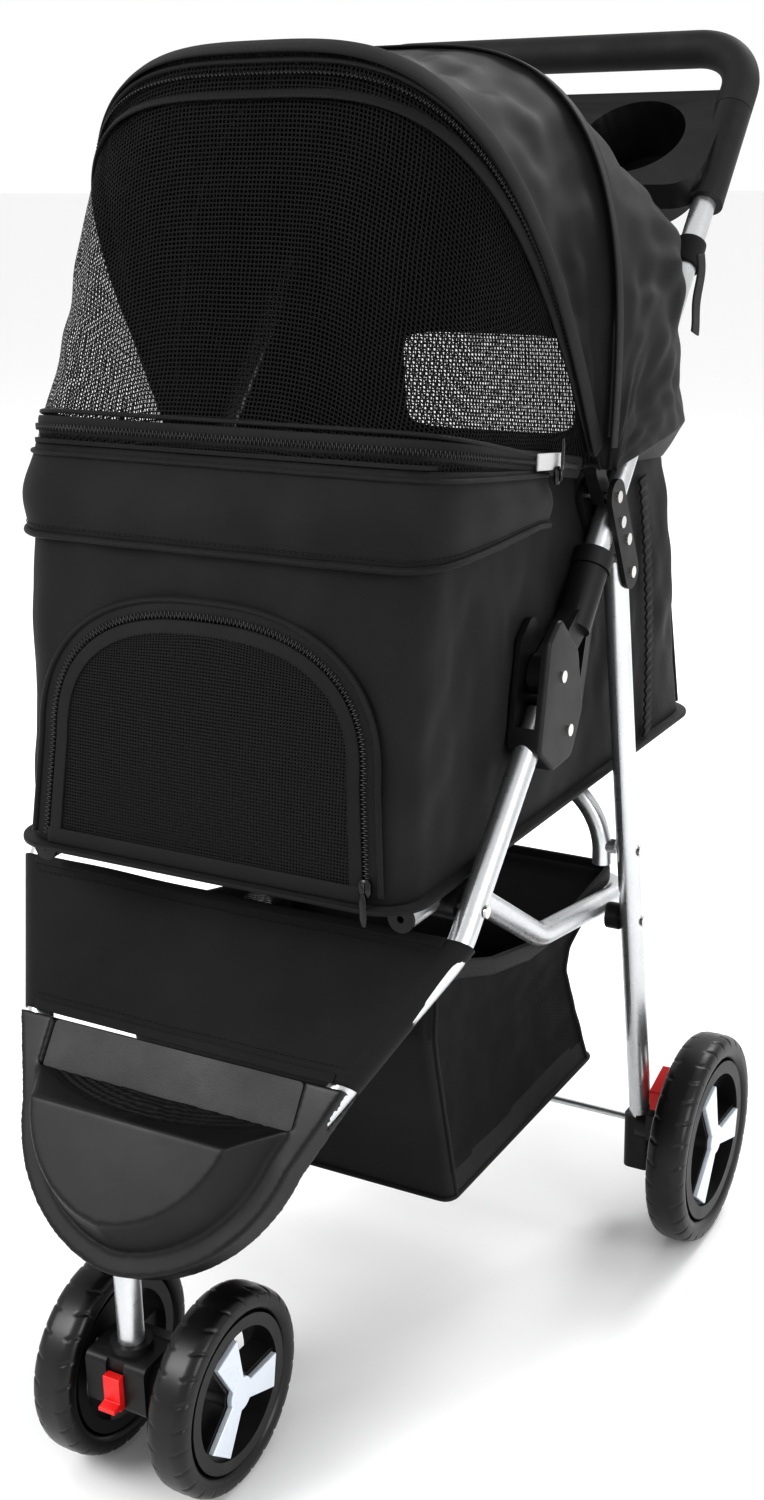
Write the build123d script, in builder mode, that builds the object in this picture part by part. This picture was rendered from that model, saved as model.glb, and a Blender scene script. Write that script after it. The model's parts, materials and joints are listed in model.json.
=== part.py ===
from build123d import *
from math import atan2, cos, hypot, radians, sin
import os

# A folding three-wheel pet stroller, in millimetres.
# Frame: +Z up, ground at Z = 0, the front points to -Y, X = 0 is the plane of symmetry.
# "left" is the +X side, "right" the -X side.

os.makedirs("parts", exist_ok=True)
sides = {"left": 1, "right": -1}

# ---- clearances -------------------------------------------------------------
running = 0.05  # radial clearance of a pin, axle or stem that turns
apart = 0.5  # gap between pieces that move past each other
cloth = 3.0  # thickness of a fabric wall

# ---- tubes ------------------------------------------------------------------
tube_d = 19.0
tube_wall = 1.4
side_x = 180.0  # plane of the legs and handle tubes
link_x = side_x - 30.0  # plane of the lower link and the floor hoop
pin_d = 6.0  # hinge rivets
rivet_head_d = 9.0
rivet_head_h = 1.6

# ---- handle frame -----------------------------------------------------------
handle_angle = 49.0  # slope of the handle tubes
handle_foot = (-28.8, 539.7)  # point of the tube line square to the fold pivot
handle_reach = 585.0  # from that foot to the bar, along the line
handle_bend = 45.0
fold_offset = 20.0  # fold pivot stands this far in front of the tube line
sleeve_d = 27.0
sleeve_start = 47.0
sleeve_end = 96.0
tube_start = 62.0
tongue_t = 15.0
tongue_r = 15.0
fold_pin_d = 8.0
grip_d = 30.0
grip_start = 520.0
clamp_start = 428.0
clamp_d = 30.0
collar_end = 110.0  # sliding latch collar, along the line
collar_d = 30.0
finger_w = 10.0
stalk_r = 7.0
stalk_w = 10.0
# Latch finger: distance along the handle line, and how far behind it.
finger_front = [(-6, 34.5), (10, 34.5), (58, 14.5), (96.5, 14.5)]
finger_route = [(110, 9), (110, 19), (60, 24), (12, 45), (-8, 44), *finger_front]

# ---- console ----------------------------------------------------------------
console_rim_r = 5.0
console_tilt = 38.0
console_place = (482.5, -15.5)  # its centre, along the handle line and behind it
console_depth = 118.0
console_t = 24.0
console_edge_r = 26.0
cup_d = 88.0
cup_x = 108.0
cup_depth = 58.0
cup_wall = 3.0
pocket_size = (84.0, 70.0, 16.0)
pocket_corner = 14.0

# ---- pivots of the fold (Y, Z) ----------------------------------------------
plate_rivets = [(62.0, 644.0), (54.0, 664.0), (74.0, 629.0)]
plate_r = 13.0
plate_t = 4.0
leg_pivot = (84.0, 602.0)
link_pivot = (-159.0, 416.0)
loop_pivot = (144.0, 296.0)
stalk_pivot = (38.5, 686.0)

# ---- front frame ------------------------------------------------------------
leg_top = (-52.0, 527.0)
leg_knee = (-182.0, 393.0)
leg_toe = (116.0, -268.5, 291.5)
leg_bend = 60.0
bracket_t = 28.0
bracket_edge_r = 3.0
bracket_outline = [(-82, 506), (-66, 582), (-46, 597), (-15, 566), (-6, 520), (-26, 488), (-58, 486)]
bracket_slot_r = 46.0
bracket_rivet = (-32.0, 510.0)

# ---- footrest tray ----------------------------------------------------------
tray_origin = (0.0, -256.0, 312.0)
tray_slope = 55.6
tray_half_width = 137.0
tray_waist = (112.0, 61.0)
tray_shoulder = (88.0, 112.0)
tray_length = 158.0
tray_back = 14.0  # thickness behind the tray plane
tray_front = 10.0  # thickness in front of it
tray_rim = 16.0
nose_rise = 34.0
nose_draft = 24.0
deck_half_width = 106.0
deck_length = 38.0
deck_recess = 6.0
ledge_z = 290.0
groove_count = 6
groove_pitch = 6.0
groove_w = 1.6
groove_depth = 1.2
lip_arc_r = 170.0
lip_y = -322.0
ledge_back = -288.0
ledge_half_width = 90.0
deck_t = 3.0

# ---- caster -----------------------------------------------------------------
stem_y = -333.0
stem_top = 236.0
trail = 38.0
front_r = 75.0
stem_bottom = front_r + 9.0
front_w = 32.0
front_x = 49.0
housing_w = 50.0
housing_corner = 6.0
stem_collar_d = 30.0
stem_collar = (4.0, 49.0)  # bottom and top, above the front axle
axle_d = 8.0
lock_w = 14.0
# Outlines in (Y, Z) from the point of the stem axis level with the front axle.
housing_outline = [(-21, 43), (15, 45), (49, 23), (59, 1), (45, -21), (15, -13), (-21, 5)]
lock_channel = [(-27, -5), (-18, -5), (-18, 47), (-27, 47)]
lock_outline = [(-26, 7), (-18.5, 7), (-18.5, 33), (-26, 33)]
lock_lip = [(-33, 9), (-25, 9), (-25, 14), (-33, 12)]

# ---- rear wheels ------------------------------------------------------------
rear_r = 90.0
rear_w = 33.0
rear_x = side_x + 54.0
rear_y = 168.0
rear_foot = (rear_y + 3.0, rear_r - 6.0)
foot_block_w = 26.0
foot_block_bottom = rear_r - 42.0
foot_block_top = rear_r + 8.0
foot_block_corner = 7.0
axle_boss_r = 14.0
wheel_gap = 2.0  # between the axle boss and the rear wheel
rod_d = 6.0
# Outlines in (Y, Z) from the rear axle.
web_outline = [(-18, -6), (18, -6), (18, 18), (10, 26), (-18, 18)]
pedal_outline = [(-18, 28), (12, 34), (17, 43), (15, 52), (-18, 42)]
pedal_lug = [(-16, 23.5), (-6, 23.5), (-6, 32), (-16, 32)]
guide_r = 11.0
arch_pivot_z = 362.0
arch_d = 16.0
arch_half_width = side_x - 23.0
arch_lug_r = 6.0
arch_top = 418.0
arch_bend = 62.0

# ---- lower link and floor hoop ----------------------------------------------
link_bend_point = (16.0, 322.0)
link_end = (217.0, 291.0)
link_bend = 60.0
link_corner = 50.0
hoop_z = 421.0
hoop_front = -204.0
hoop_back = -30.0
hoop_corner = 45.0
hoop_link_y = -134.0
clip_r = 10.0
clip_reach = 14.0  # from the link pivot back to the hoop
plug_lip = 0.3
plug_hole_r = 2.6
plug_head = 3.0
plug_neck_length = 12.0

# ---- wheel shares -------------------------------------------------------------
rim_share = 0.765
face_share = 0.35  # height of the spoke face above the wheel's mid plane, of its width
opening_share = 0.64
hub_r = 15.0
spoke_t = 5.0
spoke_gap = 4.0
spoke_angle = 20.0
spoke_width = (13.0, 27.0)  # at the hub and at the rim
arm_widening = 6.0  # how much wider the rim's own arms are
tyre_shoulder = 9.0
rim_edge = 2.0  # the rim stands this far inside the tyre's faces
hub_lip = 0.5

# ---- soft parts -------------------------------------------------------------
cabin_half_width = side_x - 20.0
cabin_profile = [(-222, 432), (303, 432), (240, 670), (38, 684), (-184, 717)]
cabin_corner = 22.0
door_half_width = 132.0
door_shoulder = (122.0, 120.0)
door_top = 178.0
door_sill = 8.0
door_gap = 1.5
hood_half_width = side_x + 16.0
hood_profile = [(-184, 720), (-113, 978), (80, 978), (216, 857), (238, 674), (38, 688)]
hood_shoulder_z = 775.0
hood_shoulder = (158.0, 908.0)
hood_nose_half_width = 146.0
hood_wide_y = -40.0
pad_t = 26.0
pad_inset = 11.0
basket_profile = [(-118, 366), (-152, 290), (-131, 160), (123, 168), (57, 285), (27, 331)]
basket_half_width = 140.0
apron_top = (166.0, -178.0, 396.0)
apron_bottom = (108.0, -252.0, 318.0)
hoop_rod_d = 6.0
front_hoop_tilt = 117.5
front_hoop = [(side_x - 8, 16), (side_x - 8, 190), (136, 256), (64, 309)]
mid_hoop_tilt = 82.0
mid_hoop = [(side_x - 2, 16), (side_x - 4, 120), (150, 205), (72, 276)]
hoop_rod_bend = 60.0


# ---- geometry helpers -------------------------------------------------------
def side_plane(x):
    """Plane square to X whose own x is world Y and whose own y is world Z."""
    return Plane(origin=(x, 0, 0), x_dir=(0, 1, 0), z_dir=(1, 0, 0))


def along_handle(distance, offset=0.0):
    """(Y, Z) of a point on the handle line; offset is measured to its rear."""
    a = radians(handle_angle)
    y = handle_foot[0] + distance * cos(a) + offset * sin(a)
    z = handle_foot[1] + distance * sin(a) - offset * cos(a)
    return (y, z)


def moved(outline, y, z):
    """A (Y, Z) outline shifted to a new origin."""
    return [(y + dy, z + dz) for dy, dz in outline]


def save(piece, name):
    """Label a finished piece and write it."""
    piece.part.label = name
    export_step(piece.part, f"parts/{name}.step")


def swept_tube(points, bend, outer, wall):
    """Hollow round tube along straight runs with rounded corners."""
    with BuildPart() as tube:
        with BuildLine() as route:
            if len(points) > 2:
                FilletPolyline(*points, radius=bend)
            else:
                Line(*points)
        with BuildSketch(Plane(origin=points[0], z_dir=Vector(*points[1]) - Vector(*points[0]))):
            Circle(outer / 2)
            if wall:
                Circle(outer / 2 - wall, mode=Mode.SUBTRACT)
        sweep()
    return tube


def cross_cylinder(radius, x_low, x_high, y, z, mode=Mode.ADD):
    """Cylinder along X between two X values, for pins and their holes."""
    with BuildSketch(side_plane(x_low)) as disc:
        with Locations((y, z)):
            Circle(radius)
    extrude(disc.sketch, amount=x_high - x_low, mode=mode)


def slab(outline, x_low, x_high, corner=0.0, mode=Mode.ADD):
    """Plate with a (Y, Z) outline, between two X values."""
    with BuildSketch(side_plane(x_low)) as face:
        with BuildLine():
            Polyline(*outline, close=True)
        make_face()
        if corner:
            fillet(face.vertices(), corner)
    extrude(face.sketch, amount=x_high - x_low, mode=mode)


def span(x_a, x_b, side):
    """The two X values of a piece on one side, low one first."""
    return sorted((x_a * side, x_b * side))


def front_leg_route(side):
    """Centre line of one front leg, from the latch bracket to its toe under the tray."""
    toe_x, toe_y, toe_z = leg_toe
    return [(side * side_x, *leg_top), (side * side_x, *leg_knee), (side * toe_x, toe_y, toe_z)]


def rod_along_handle(side, start, end, diameter):
    """Solid round bar on the handle line of one side, to make or to cut with."""
    line = [(side * side_x, *along_handle(start)), (side * side_x, *along_handle(end))]
    return swept_tube(line, 0, diameter, 0).part


fold_pivot = along_handle(0.0, -fold_offset)
tray_normal_y = -sin(radians(tray_slope))
tray_normal_z = cos(radians(tray_slope))
tray_plane = Plane(origin=tray_origin, x_dir=(1, 0, 0), z_dir=(0, tray_normal_y, tray_normal_z))


# ---- front frame: legs and latch brackets ------------------------------------
for side, s in sides.items():
    leg_route = front_leg_route(s)
    leg_tube = swept_tube(leg_route, leg_bend, tube_d, tube_wall)
    with BuildPart() as front_leg:
        add(leg_tube.part)
        low, high = span(side_x - tube_d, side_x + tube_d, s)
        cross_cylinder(pin_d / 2 + running, low, high, *link_pivot, mode=Mode.SUBTRACT)
    save(front_leg, f"front_leg_{side}")

    with BuildPart() as latch_bracket:
        low, high = span(side_x - bracket_t / 2, side_x + bracket_t / 2, s)
        slab(bracket_outline, low, high, corner=9.0)
        fillet(latch_bracket.faces().sort_by(Axis.X)[-1].edges(), bracket_edge_r)
        fillet(latch_bracket.faces().sort_by(Axis.X)[0].edges(), bracket_edge_r)
        low, high = span(side_x - tongue_t / 2 - apart, side_x + tongue_t / 2 + apart, s)
        cross_cylinder(bracket_slot_r, low, high, *fold_pivot, mode=Mode.SUBTRACT)
        low, high = span(side_x - bracket_t, side_x + bracket_t, s)
        cross_cylinder(fold_pin_d / 2, low, high, *fold_pivot, mode=Mode.SUBTRACT)
        solid_leg = swept_tube(leg_route, leg_bend, tube_d, 0)
        add(solid_leg.part, mode=Mode.SUBTRACT)
    save(latch_bracket, f"latch_bracket_{side}")


# ---- footrest tray ------------------------------------------------------------
with BuildSketch(tray_plane) as shield:
    with BuildLine():
        side_line = Line((tray_half_width, 0), (tray_waist[0], -tray_waist[1]))
        nose_arc = ThreePointArc(side_line @ 1, (tray_shoulder[0], -tray_shoulder[1]), (0, -tray_length))
        mirror(about=Plane.YZ)
        Line((-tray_half_width, 0), (tray_half_width, 0))
    make_face()

with BuildSketch(tray_plane.offset(tray_front)) as nose_outline:
    add(shield.sketch_local)
    offset(amount=-tray_rim, mode=Mode.REPLACE)

with BuildPart() as footrest_tray:
    extrude(shield.sketch, amount=tray_front)
    extrude(shield.sketch, amount=-tray_back)
    with BuildPart(mode=Mode.PRIVATE) as nose:
        extrude(nose_outline.sketch, amount=nose_rise, taper=nose_draft)
        split(bisect_by=Plane.XY.offset(ledge_z), keep=Keep.BOTTOM)
    add(nose.part)
    with BuildSketch(tray_plane.offset(tray_front)) as deck_outline:
        with Locations((0, -deck_length / 2 + tray_rim / 2)):
            Rectangle(2 * deck_half_width, deck_length + tray_rim)
    extrude(deck_outline.sketch, amount=-deck_recess, mode=Mode.SUBTRACT)
    with BuildSketch(Plane.XY.offset(ledge_z)) as grooves:
        for i in range(groove_count):
            ring_r = lip_arc_r - (i + 1.5) * groove_pitch
            with Locations((0, lip_y + lip_arc_r)):
                Circle(ring_r + groove_w / 2)
                Circle(ring_r - groove_w / 2, mode=Mode.SUBTRACT)
        with Locations((0, (ledge_back + lip_y) / 2)):
            Rectangle(2 * ledge_half_width, ledge_back - lip_y, mode=Mode.INTERSECT)
    extrude(grooves.sketch, amount=-groove_depth, mode=Mode.SUBTRACT)
    with BuildSketch(Plane.XY) as stem_hole:
        with Locations((0, stem_y)):
            Circle(tube_d / 2)
    extrude(stem_hole.sketch, amount=stem_top, mode=Mode.SUBTRACT)
    for s in sides.values():
        add(swept_tube(front_leg_route(s), leg_bend, tube_d, 0).part, mode=Mode.SUBTRACT)
save(footrest_tray, "footrest_tray")

with BuildPart() as footrest_deck:
    with BuildSketch(tray_plane.offset(tray_front - deck_recess)):
        with Locations((0, -deck_length / 2)):
            RectangleRounded(2 * deck_half_width - 2 * apart, deck_length - 2 * apart, 4.0)
    extrude(amount=deck_t)
save(footrest_deck, "footrest_deck")

with BuildPart() as stem:
    with BuildSketch(Plane.XY.offset(stem_bottom)):
        with Locations((0, stem_y)):
            Circle(tube_d / 2)
            Circle(tube_d / 2 - tube_wall, mode=Mode.SUBTRACT)
    extrude(amount=stem_top - stem_bottom)
save(stem, "caster_stem")

# ---- front apron, between the front legs ---------------------------------------
apron_y = apron_bottom[1] - apron_top[1]
apron_z = apron_bottom[2] - apron_top[2]
apron_length = hypot(apron_y, apron_z)
apron_plane = Plane(
    origin=(0, apron_top[1], apron_top[2]),
    x_dir=(1, 0, 0),
    z_dir=(0, apron_z / apron_length, -apron_y / apron_length),
)
with BuildPart() as apron:
    with BuildSketch(apron_plane):
        with BuildLine():
            Polyline(
                (-apron_top[0], 0),
                (apron_top[0], 0),
                (apron_bottom[0], -apron_length),
                (-apron_bottom[0], -apron_length),
                close=True,
            )
        make_face()
    extrude(amount=cloth)
save(apron, "apron")

# ---- handle frame ---------------------------------------------------------------
handle_top = along_handle(handle_reach)
handle_start = along_handle(tube_start)
grip_foot = along_handle(grip_start)
handle_route = [
    (side_x, *handle_start),
    (side_x, *handle_top),
    (-side_x, *handle_top),
    (-side_x, *handle_start),
]
handle_tube = swept_tube(handle_route, handle_bend, tube_d, tube_wall)
with BuildPart() as handle:
    add(handle_tube.part)
    for s in sides.values():
        low, high = span(side_x - tube_d, side_x + tube_d, s)
        cross_cylinder(pin_d / 2, low, high, *plate_rivets[0], mode=Mode.SUBTRACT)
save(handle, "handle_tube")

grip_route = [
    (side_x, *grip_foot),
    (side_x, *handle_top),
    (-side_x, *handle_top),
    (-side_x, *grip_foot),
]
grip = swept_tube(grip_route, handle_bend, grip_d, (grip_d - tube_d) / 2)
save(grip, "foam_grip")

console_plane = Plane(
    origin=(0, *along_handle(*console_place)),
    x_dir=(1, 0, 0),
    z_dir=(0, -sin(radians(console_tilt)), cos(radians(console_tilt))),
)
with BuildPart() as console:
    with BuildSketch(console_plane) as plate:
        Rectangle(2 * side_x, console_depth)
        fillet(plate.vertices().group_by(Axis.Y)[0], console_edge_r)
    extrude(amount=-console_t)
    fillet(console.faces().sort_by(Axis.Z)[-1].edges(), console_rim_r)
    for s in sides.values():
        add(rod_along_handle(s, clamp_start, grip_start - apart, clamp_d))
        with BuildSketch(console_plane) as cup:
            with Locations((s * cup_x, 0)):
                Circle(cup_d / 2 + cup_wall)
        extrude(cup.sketch, amount=-cup_depth)
    for s in sides.values():
        with BuildSketch(console_plane) as cup_hole:
            with Locations((s * cup_x, 0)):
                Circle(cup_d / 2)
        extrude(cup_hole.sketch, amount=-(cup_depth - cup_wall), mode=Mode.SUBTRACT)
        add(rod_along_handle(s, clamp_start - tube_d, handle_reach, tube_d), mode=Mode.SUBTRACT)
    add(swept_tube(grip_route, handle_bend, grip_d, 0).part, mode=Mode.SUBTRACT)
    with BuildSketch(console_plane) as pocket:
        RectangleRounded(pocket_size[0], pocket_size[1], pocket_corner)
    extrude(pocket.sketch, amount=-pocket_size[2], mode=Mode.SUBTRACT)
save(console, "console")

for side, s in sides.items():
    # Sleeve round the foot of the handle tube, with the tongue of the fold hinge.
    with BuildPart() as sleeve:
        add(rod_along_handle(s, sleeve_start, sleeve_end, sleeve_d))
        low, high = span(side_x - tongue_t / 2, side_x + tongue_t / 2, s)
        cross_cylinder(tongue_r, low, high, *fold_pivot)
        arm = [
            along_handle(-tongue_r * 0.2, -fold_offset - tongue_r * 0.9),
            along_handle(sleeve_start + 10, -sleeve_d / 2 + 1),
            along_handle(sleeve_start + 10, sleeve_d / 2 - 1),
            along_handle(0, -fold_offset + tongue_r * 0.9),
        ]
        slab(arm, low, high)
        low, high = span(side_x - bracket_t, side_x + bracket_t, s)
        cross_cylinder(fold_pin_d / 2 + running, low, high, *fold_pivot, mode=Mode.SUBTRACT)
        add(rod_along_handle(s, tube_start, sleeve_end + tube_d, tube_d), mode=Mode.SUBTRACT)
    save(sleeve, f"handle_sleeve_{side}")

    # Two cheeks that carry the top of the rear leg.
    with BuildPart() as plates:
        for inner in (side_x - tube_d / 2 - plate_t, side_x + tube_d / 2):
            low, high = span(inner, inner + plate_t, s)
            with BuildSketch(side_plane(low)) as cheek:
                for centre in (plate_rivets[1], leg_pivot):
                    with Locations(centre):
                        Circle(plate_r)
                make_hull()
            extrude(cheek.sketch, amount=high - low)
        for hole in (*plate_rivets, leg_pivot):
            low, high = span(side_x - tube_d, side_x + tube_d, s)
            cross_cylinder(pin_d / 2, low, high, *hole, mode=Mode.SUBTRACT)
    save(plates, f"pivot_plates_{side}")

    # Stalk that carries the foot of the canopy.
    with BuildPart() as stalk:
        low, high = span(side_x - stalk_w / 2, side_x + stalk_w / 2, s)
        with BuildSketch(side_plane(low)) as lever:
            with Locations(plate_rivets[1]):
                Circle(stalk_r)
            with Locations(stalk_pivot):
                Circle(stalk_r)
            make_hull()
        extrude(lever.sketch, amount=high - low)
        low, high = span(side_x - tube_d, side_x + tube_d, s)
        cross_cylinder(pin_d / 2, low, high, *plate_rivets[1], mode=Mode.SUBTRACT)
        add(rod_along_handle(s, tube_start, handle_reach, tube_d), mode=Mode.SUBTRACT)
    save(stalk, f"canopy_stalk_{side}")

    # Sliding collar with the hook that keeps the fold shut.
    with BuildPart() as latch:
        add(rod_along_handle(s, sleeve_end + apart, collar_end, collar_d))
        low, high = span(side_x - finger_w / 2, side_x + finger_w / 2, s)
        slab([along_handle(*spot) for spot in finger_route], low, high)
        add(rod_along_handle(s, tube_start, handle_reach, tube_d + 2 * apart), mode=Mode.SUBTRACT)
    save(latch, f"latch_hook_{side}")

with BuildPart() as cheek_rivets:
    for s in sides.values():
        reach = tube_d / 2 + plate_t
        for hole in (*plate_rivets, leg_pivot):
            low, high = span(side_x - reach, side_x + reach, s)
            cross_cylinder(pin_d / 2, low, high, *hole)
            for face in (-1, 1):
                low, high = span(side_x + face * reach, side_x + face * (reach + rivet_head_h), s)
                cross_cylinder(rivet_head_d / 2, low, high, *hole)
save(cheek_rivets, "plate_rivets")

with BuildPart() as fold_pins:
    for s in sides.values():
        reach = bracket_t / 2
        low, high = span(side_x - reach, side_x + reach, s)
        cross_cylinder(fold_pin_d / 2, low, high, *fold_pivot)
        for spot in (fold_pivot, bracket_rivet):
            low, high = span(side_x + reach, side_x + reach + rivet_head_h, s)
            cross_cylinder(rivet_head_d / 2, low, high, *spot)
save(fold_pins, "fold_pins")

# ---- rear frame -----------------------------------------------------------------
leg_run = (rear_foot[0] - leg_pivot[0], rear_foot[1] - leg_pivot[1])


def on_rear_leg(z):
    """(Y, Z) on the centre line of the rear legs at a height."""
    return (leg_pivot[0] + leg_run[0] * (z - leg_pivot[1]) / leg_run[1], z)


def rear_leg_bar(side, wall):
    """One rear leg tube, hollow or solid."""
    top = (side * side_x, *on_rear_leg(leg_pivot[1] + tube_d / 2))
    return swept_tube([top, (side * side_x, *rear_foot)], 0, tube_d, wall).part


arch_y = on_rear_leg(arch_pivot_z)[0]
for side, s in sides.items():
    with BuildPart() as rear_leg:
        add(rear_leg_bar(s, tube_wall))
        low, high = span(side_x - tube_d, side_x + tube_d, s)
        cross_cylinder(pin_d / 2 + running, low, high, *leg_pivot, mode=Mode.SUBTRACT)
        cross_cylinder(pin_d / 2, low, high, arch_y, arch_pivot_z, mode=Mode.SUBTRACT)
        cross_cylinder(pin_d / 2, low, high, *on_rear_leg(loop_pivot[1]), mode=Mode.SUBTRACT)
    save(rear_leg, f"rear_leg_{side}")

    with BuildPart() as foot_block:
        with BuildSketch(Plane.XY.offset(foot_block_bottom)) as foot_section:
            with Locations((s * side_x, rear_foot[0] + 1)):
                RectangleRounded(foot_block_w, foot_block_w, foot_block_corner)
        extrude(foot_section.sketch, amount=foot_block_top - foot_block_bottom)
        low, high = span(side_x, rear_x - rear_w / 2 - wheel_gap, s)
        cross_cylinder(axle_boss_r, low, high, rear_y, rear_r)
        low, high = span(side_x + foot_block_w / 2 - 1, rear_x - rear_w / 2 - 2 * wheel_gap, s)
        slab(moved(web_outline, rear_y, rear_r), low, high)
        add(rear_leg_bar(s, 0), mode=Mode.SUBTRACT)
        low, high = span(side_x + foot_block_w / 2, rear_x + rear_w, s)
        cross_cylinder(axle_d / 2, low, high, rear_y, rear_r, mode=Mode.SUBTRACT)
    save(foot_block, f"foot_block_{side}")

    with BuildPart() as pedal:
        low, high = span(side_x + foot_block_w / 2 + 3 * apart, rear_x - rear_w / 2 - 2.5 * wheel_gap, s)
        slab(moved(pedal_outline, rear_y, rear_r), low, high, corner=2.0)
        slab(moved(pedal_lug, rear_y, rear_r), low, high)
    save(pedal, f"brake_pedal_{side}")

with BuildPart() as rear_axles:
    for s in sides.values():
        low, high = span(side_x + foot_block_w / 2, rear_x + face_share * rear_w - apart, s)
        cross_cylinder(axle_d / 2, low, high, rear_y, rear_r)
save(rear_axles, "rear_axles")

rod_x = side_x - foot_block_w / 2
with BuildPart() as axle_rod:
    cross_cylinder(rod_d / 2, -rod_x, rod_x, rear_foot[0], rear_r)
save(axle_rod, "axle_rod")

arch_route = [
    (arch_half_width, arch_y, arch_pivot_z - arch_d),
    (arch_half_width, arch_y, arch_top),
    (-arch_half_width, arch_y, arch_top),
    (-arch_half_width, arch_y, arch_pivot_z - arch_d),
]
with BuildPart() as arch:
    add(swept_tube(arch_route, arch_bend, arch_d, 0).part)
    for s in sides.values():
        low, high = span(arch_half_width, side_x - tube_d / 2 - 1, s)
        cross_cylinder(arch_lug_r, low, high, arch_y, arch_pivot_z)
save(arch, "rear_arch")

with BuildPart() as rear_rivets:
    for s in sides.values():
        reach = tube_d / 2
        for spot in ((arch_y, arch_pivot_z), on_rear_leg(loop_pivot[1])):
            low, high = span(side_x - reach, side_x + reach, s)
            cross_cylinder(pin_d / 2, low, high, *spot)
            low, high = span(side_x + reach, side_x + reach + rivet_head_h, s)
            cross_cylinder(rivet_head_d / 2, low, high, *spot)
save(rear_rivets, "rear_rivets")

with BuildPart() as guides:
    for s in sides.values():
        low, high = span(link_x + tube_d / 2 + apart, side_x - tube_d / 2 - apart / 2, s)
        cross_cylinder(guide_r, low, high, *on_rear_leg(loop_pivot[1]))
save(guides, "link_guides")

# ---- lower link and floor hoop -----------------------------------------------------
hoop_route = [
    (link_x, hoop_front, hoop_z),
    (link_x, hoop_back, hoop_z),
    (-link_x, hoop_back, hoop_z),
    (-link_x, hoop_front, hoop_z),
]
solid_hoop = swept_tube(hoop_route, hoop_corner, tube_d, 0)
hoop = swept_tube(hoop_route, hoop_corner, tube_d, tube_wall)
save(hoop, "floor_hoop")

link_half = [(link_x, hoop_link_y, hoop_z), (link_x, *link_bend_point), (link_x, *link_end)]
link_route = link_half + [(-x, y, z) for x, y, z in reversed(link_half)]
with BuildPart() as lower_link:
    bends = [link_bend, link_corner, link_corner, link_bend]
    add(swept_tube(link_route, bends, tube_d, 0).part)
    add(solid_hoop.part, mode=Mode.SUBTRACT)
save(lower_link, "lower_link")

with BuildPart() as hoop_plugs:
    for s in sides.values():
        with BuildSketch(Plane(origin=(s * link_x, hoop_front, hoop_z), z_dir=(0, -1, 0))) as plug:
            Circle(tube_d / 2 + plug_lip)
            Circle(plug_hole_r, mode=Mode.SUBTRACT)
        extrude(plug.sketch, amount=plug_head)
        with BuildSketch(Plane(origin=(s * link_x, hoop_front, hoop_z), z_dir=(0, 1, 0))) as plug_neck:
            Circle(tube_d / 2 - tube_wall)
            Circle(plug_hole_r, mode=Mode.SUBTRACT)
        extrude(plug_neck.sketch, amount=plug_neck_length)
save(hoop_plugs, "hoop_plugs")

with BuildPart() as hoop_clips:
    for s in sides.values():
        low, high = span(link_x, side_x - tube_d / 2 - apart, s)
        with BuildSketch(side_plane(low)) as clip:
            for centre in (link_pivot, (link_pivot[0] + clip_reach, hoop_z)):
                with Locations(centre):
                    Circle(clip_r)
            make_hull()
        extrude(clip.sketch, amount=high - low)
        low, high = span(link_x, side_x, s)
        cross_cylinder(pin_d / 2, low, high, *link_pivot, mode=Mode.SUBTRACT)
    add(solid_hoop.part, mode=Mode.SUBTRACT)
    add(swept_tube(link_route, bends, tube_d, 0).part, mode=Mode.SUBTRACT)
save(hoop_clips, "hoop_clips")

with BuildPart() as link_pins:
    for s in sides.values():
        low, high = span(link_x + tube_d / 2, side_x + tube_d / 2 + apart, s)
        cross_cylinder(pin_d / 2, low, high, *link_pivot)
        face_low, face_high = span(side_x + tube_d / 2 + apart, side_x + tube_d / 2 + apart + rivet_head_h, s)
        cross_cylinder(rivet_head_d / 2, face_low, face_high, *link_pivot)
save(link_pins, "link_pins")


# ---- wheels ---------------------------------------------------------------------
def flared_arm(inner_w, outer_w, start, end):
    """Trapezoid arm pointing along local +Y, narrow at the hub."""
    with BuildSketch(mode=Mode.PRIVATE) as arm_face:
        with BuildLine():
            Polyline(
                (-inner_w / 2, start),
                (inner_w / 2, start),
                (outer_w / 2, end),
                (-outer_w / 2, end),
                close=True,
            )
        make_face()
    return arm_face.sketch


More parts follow.
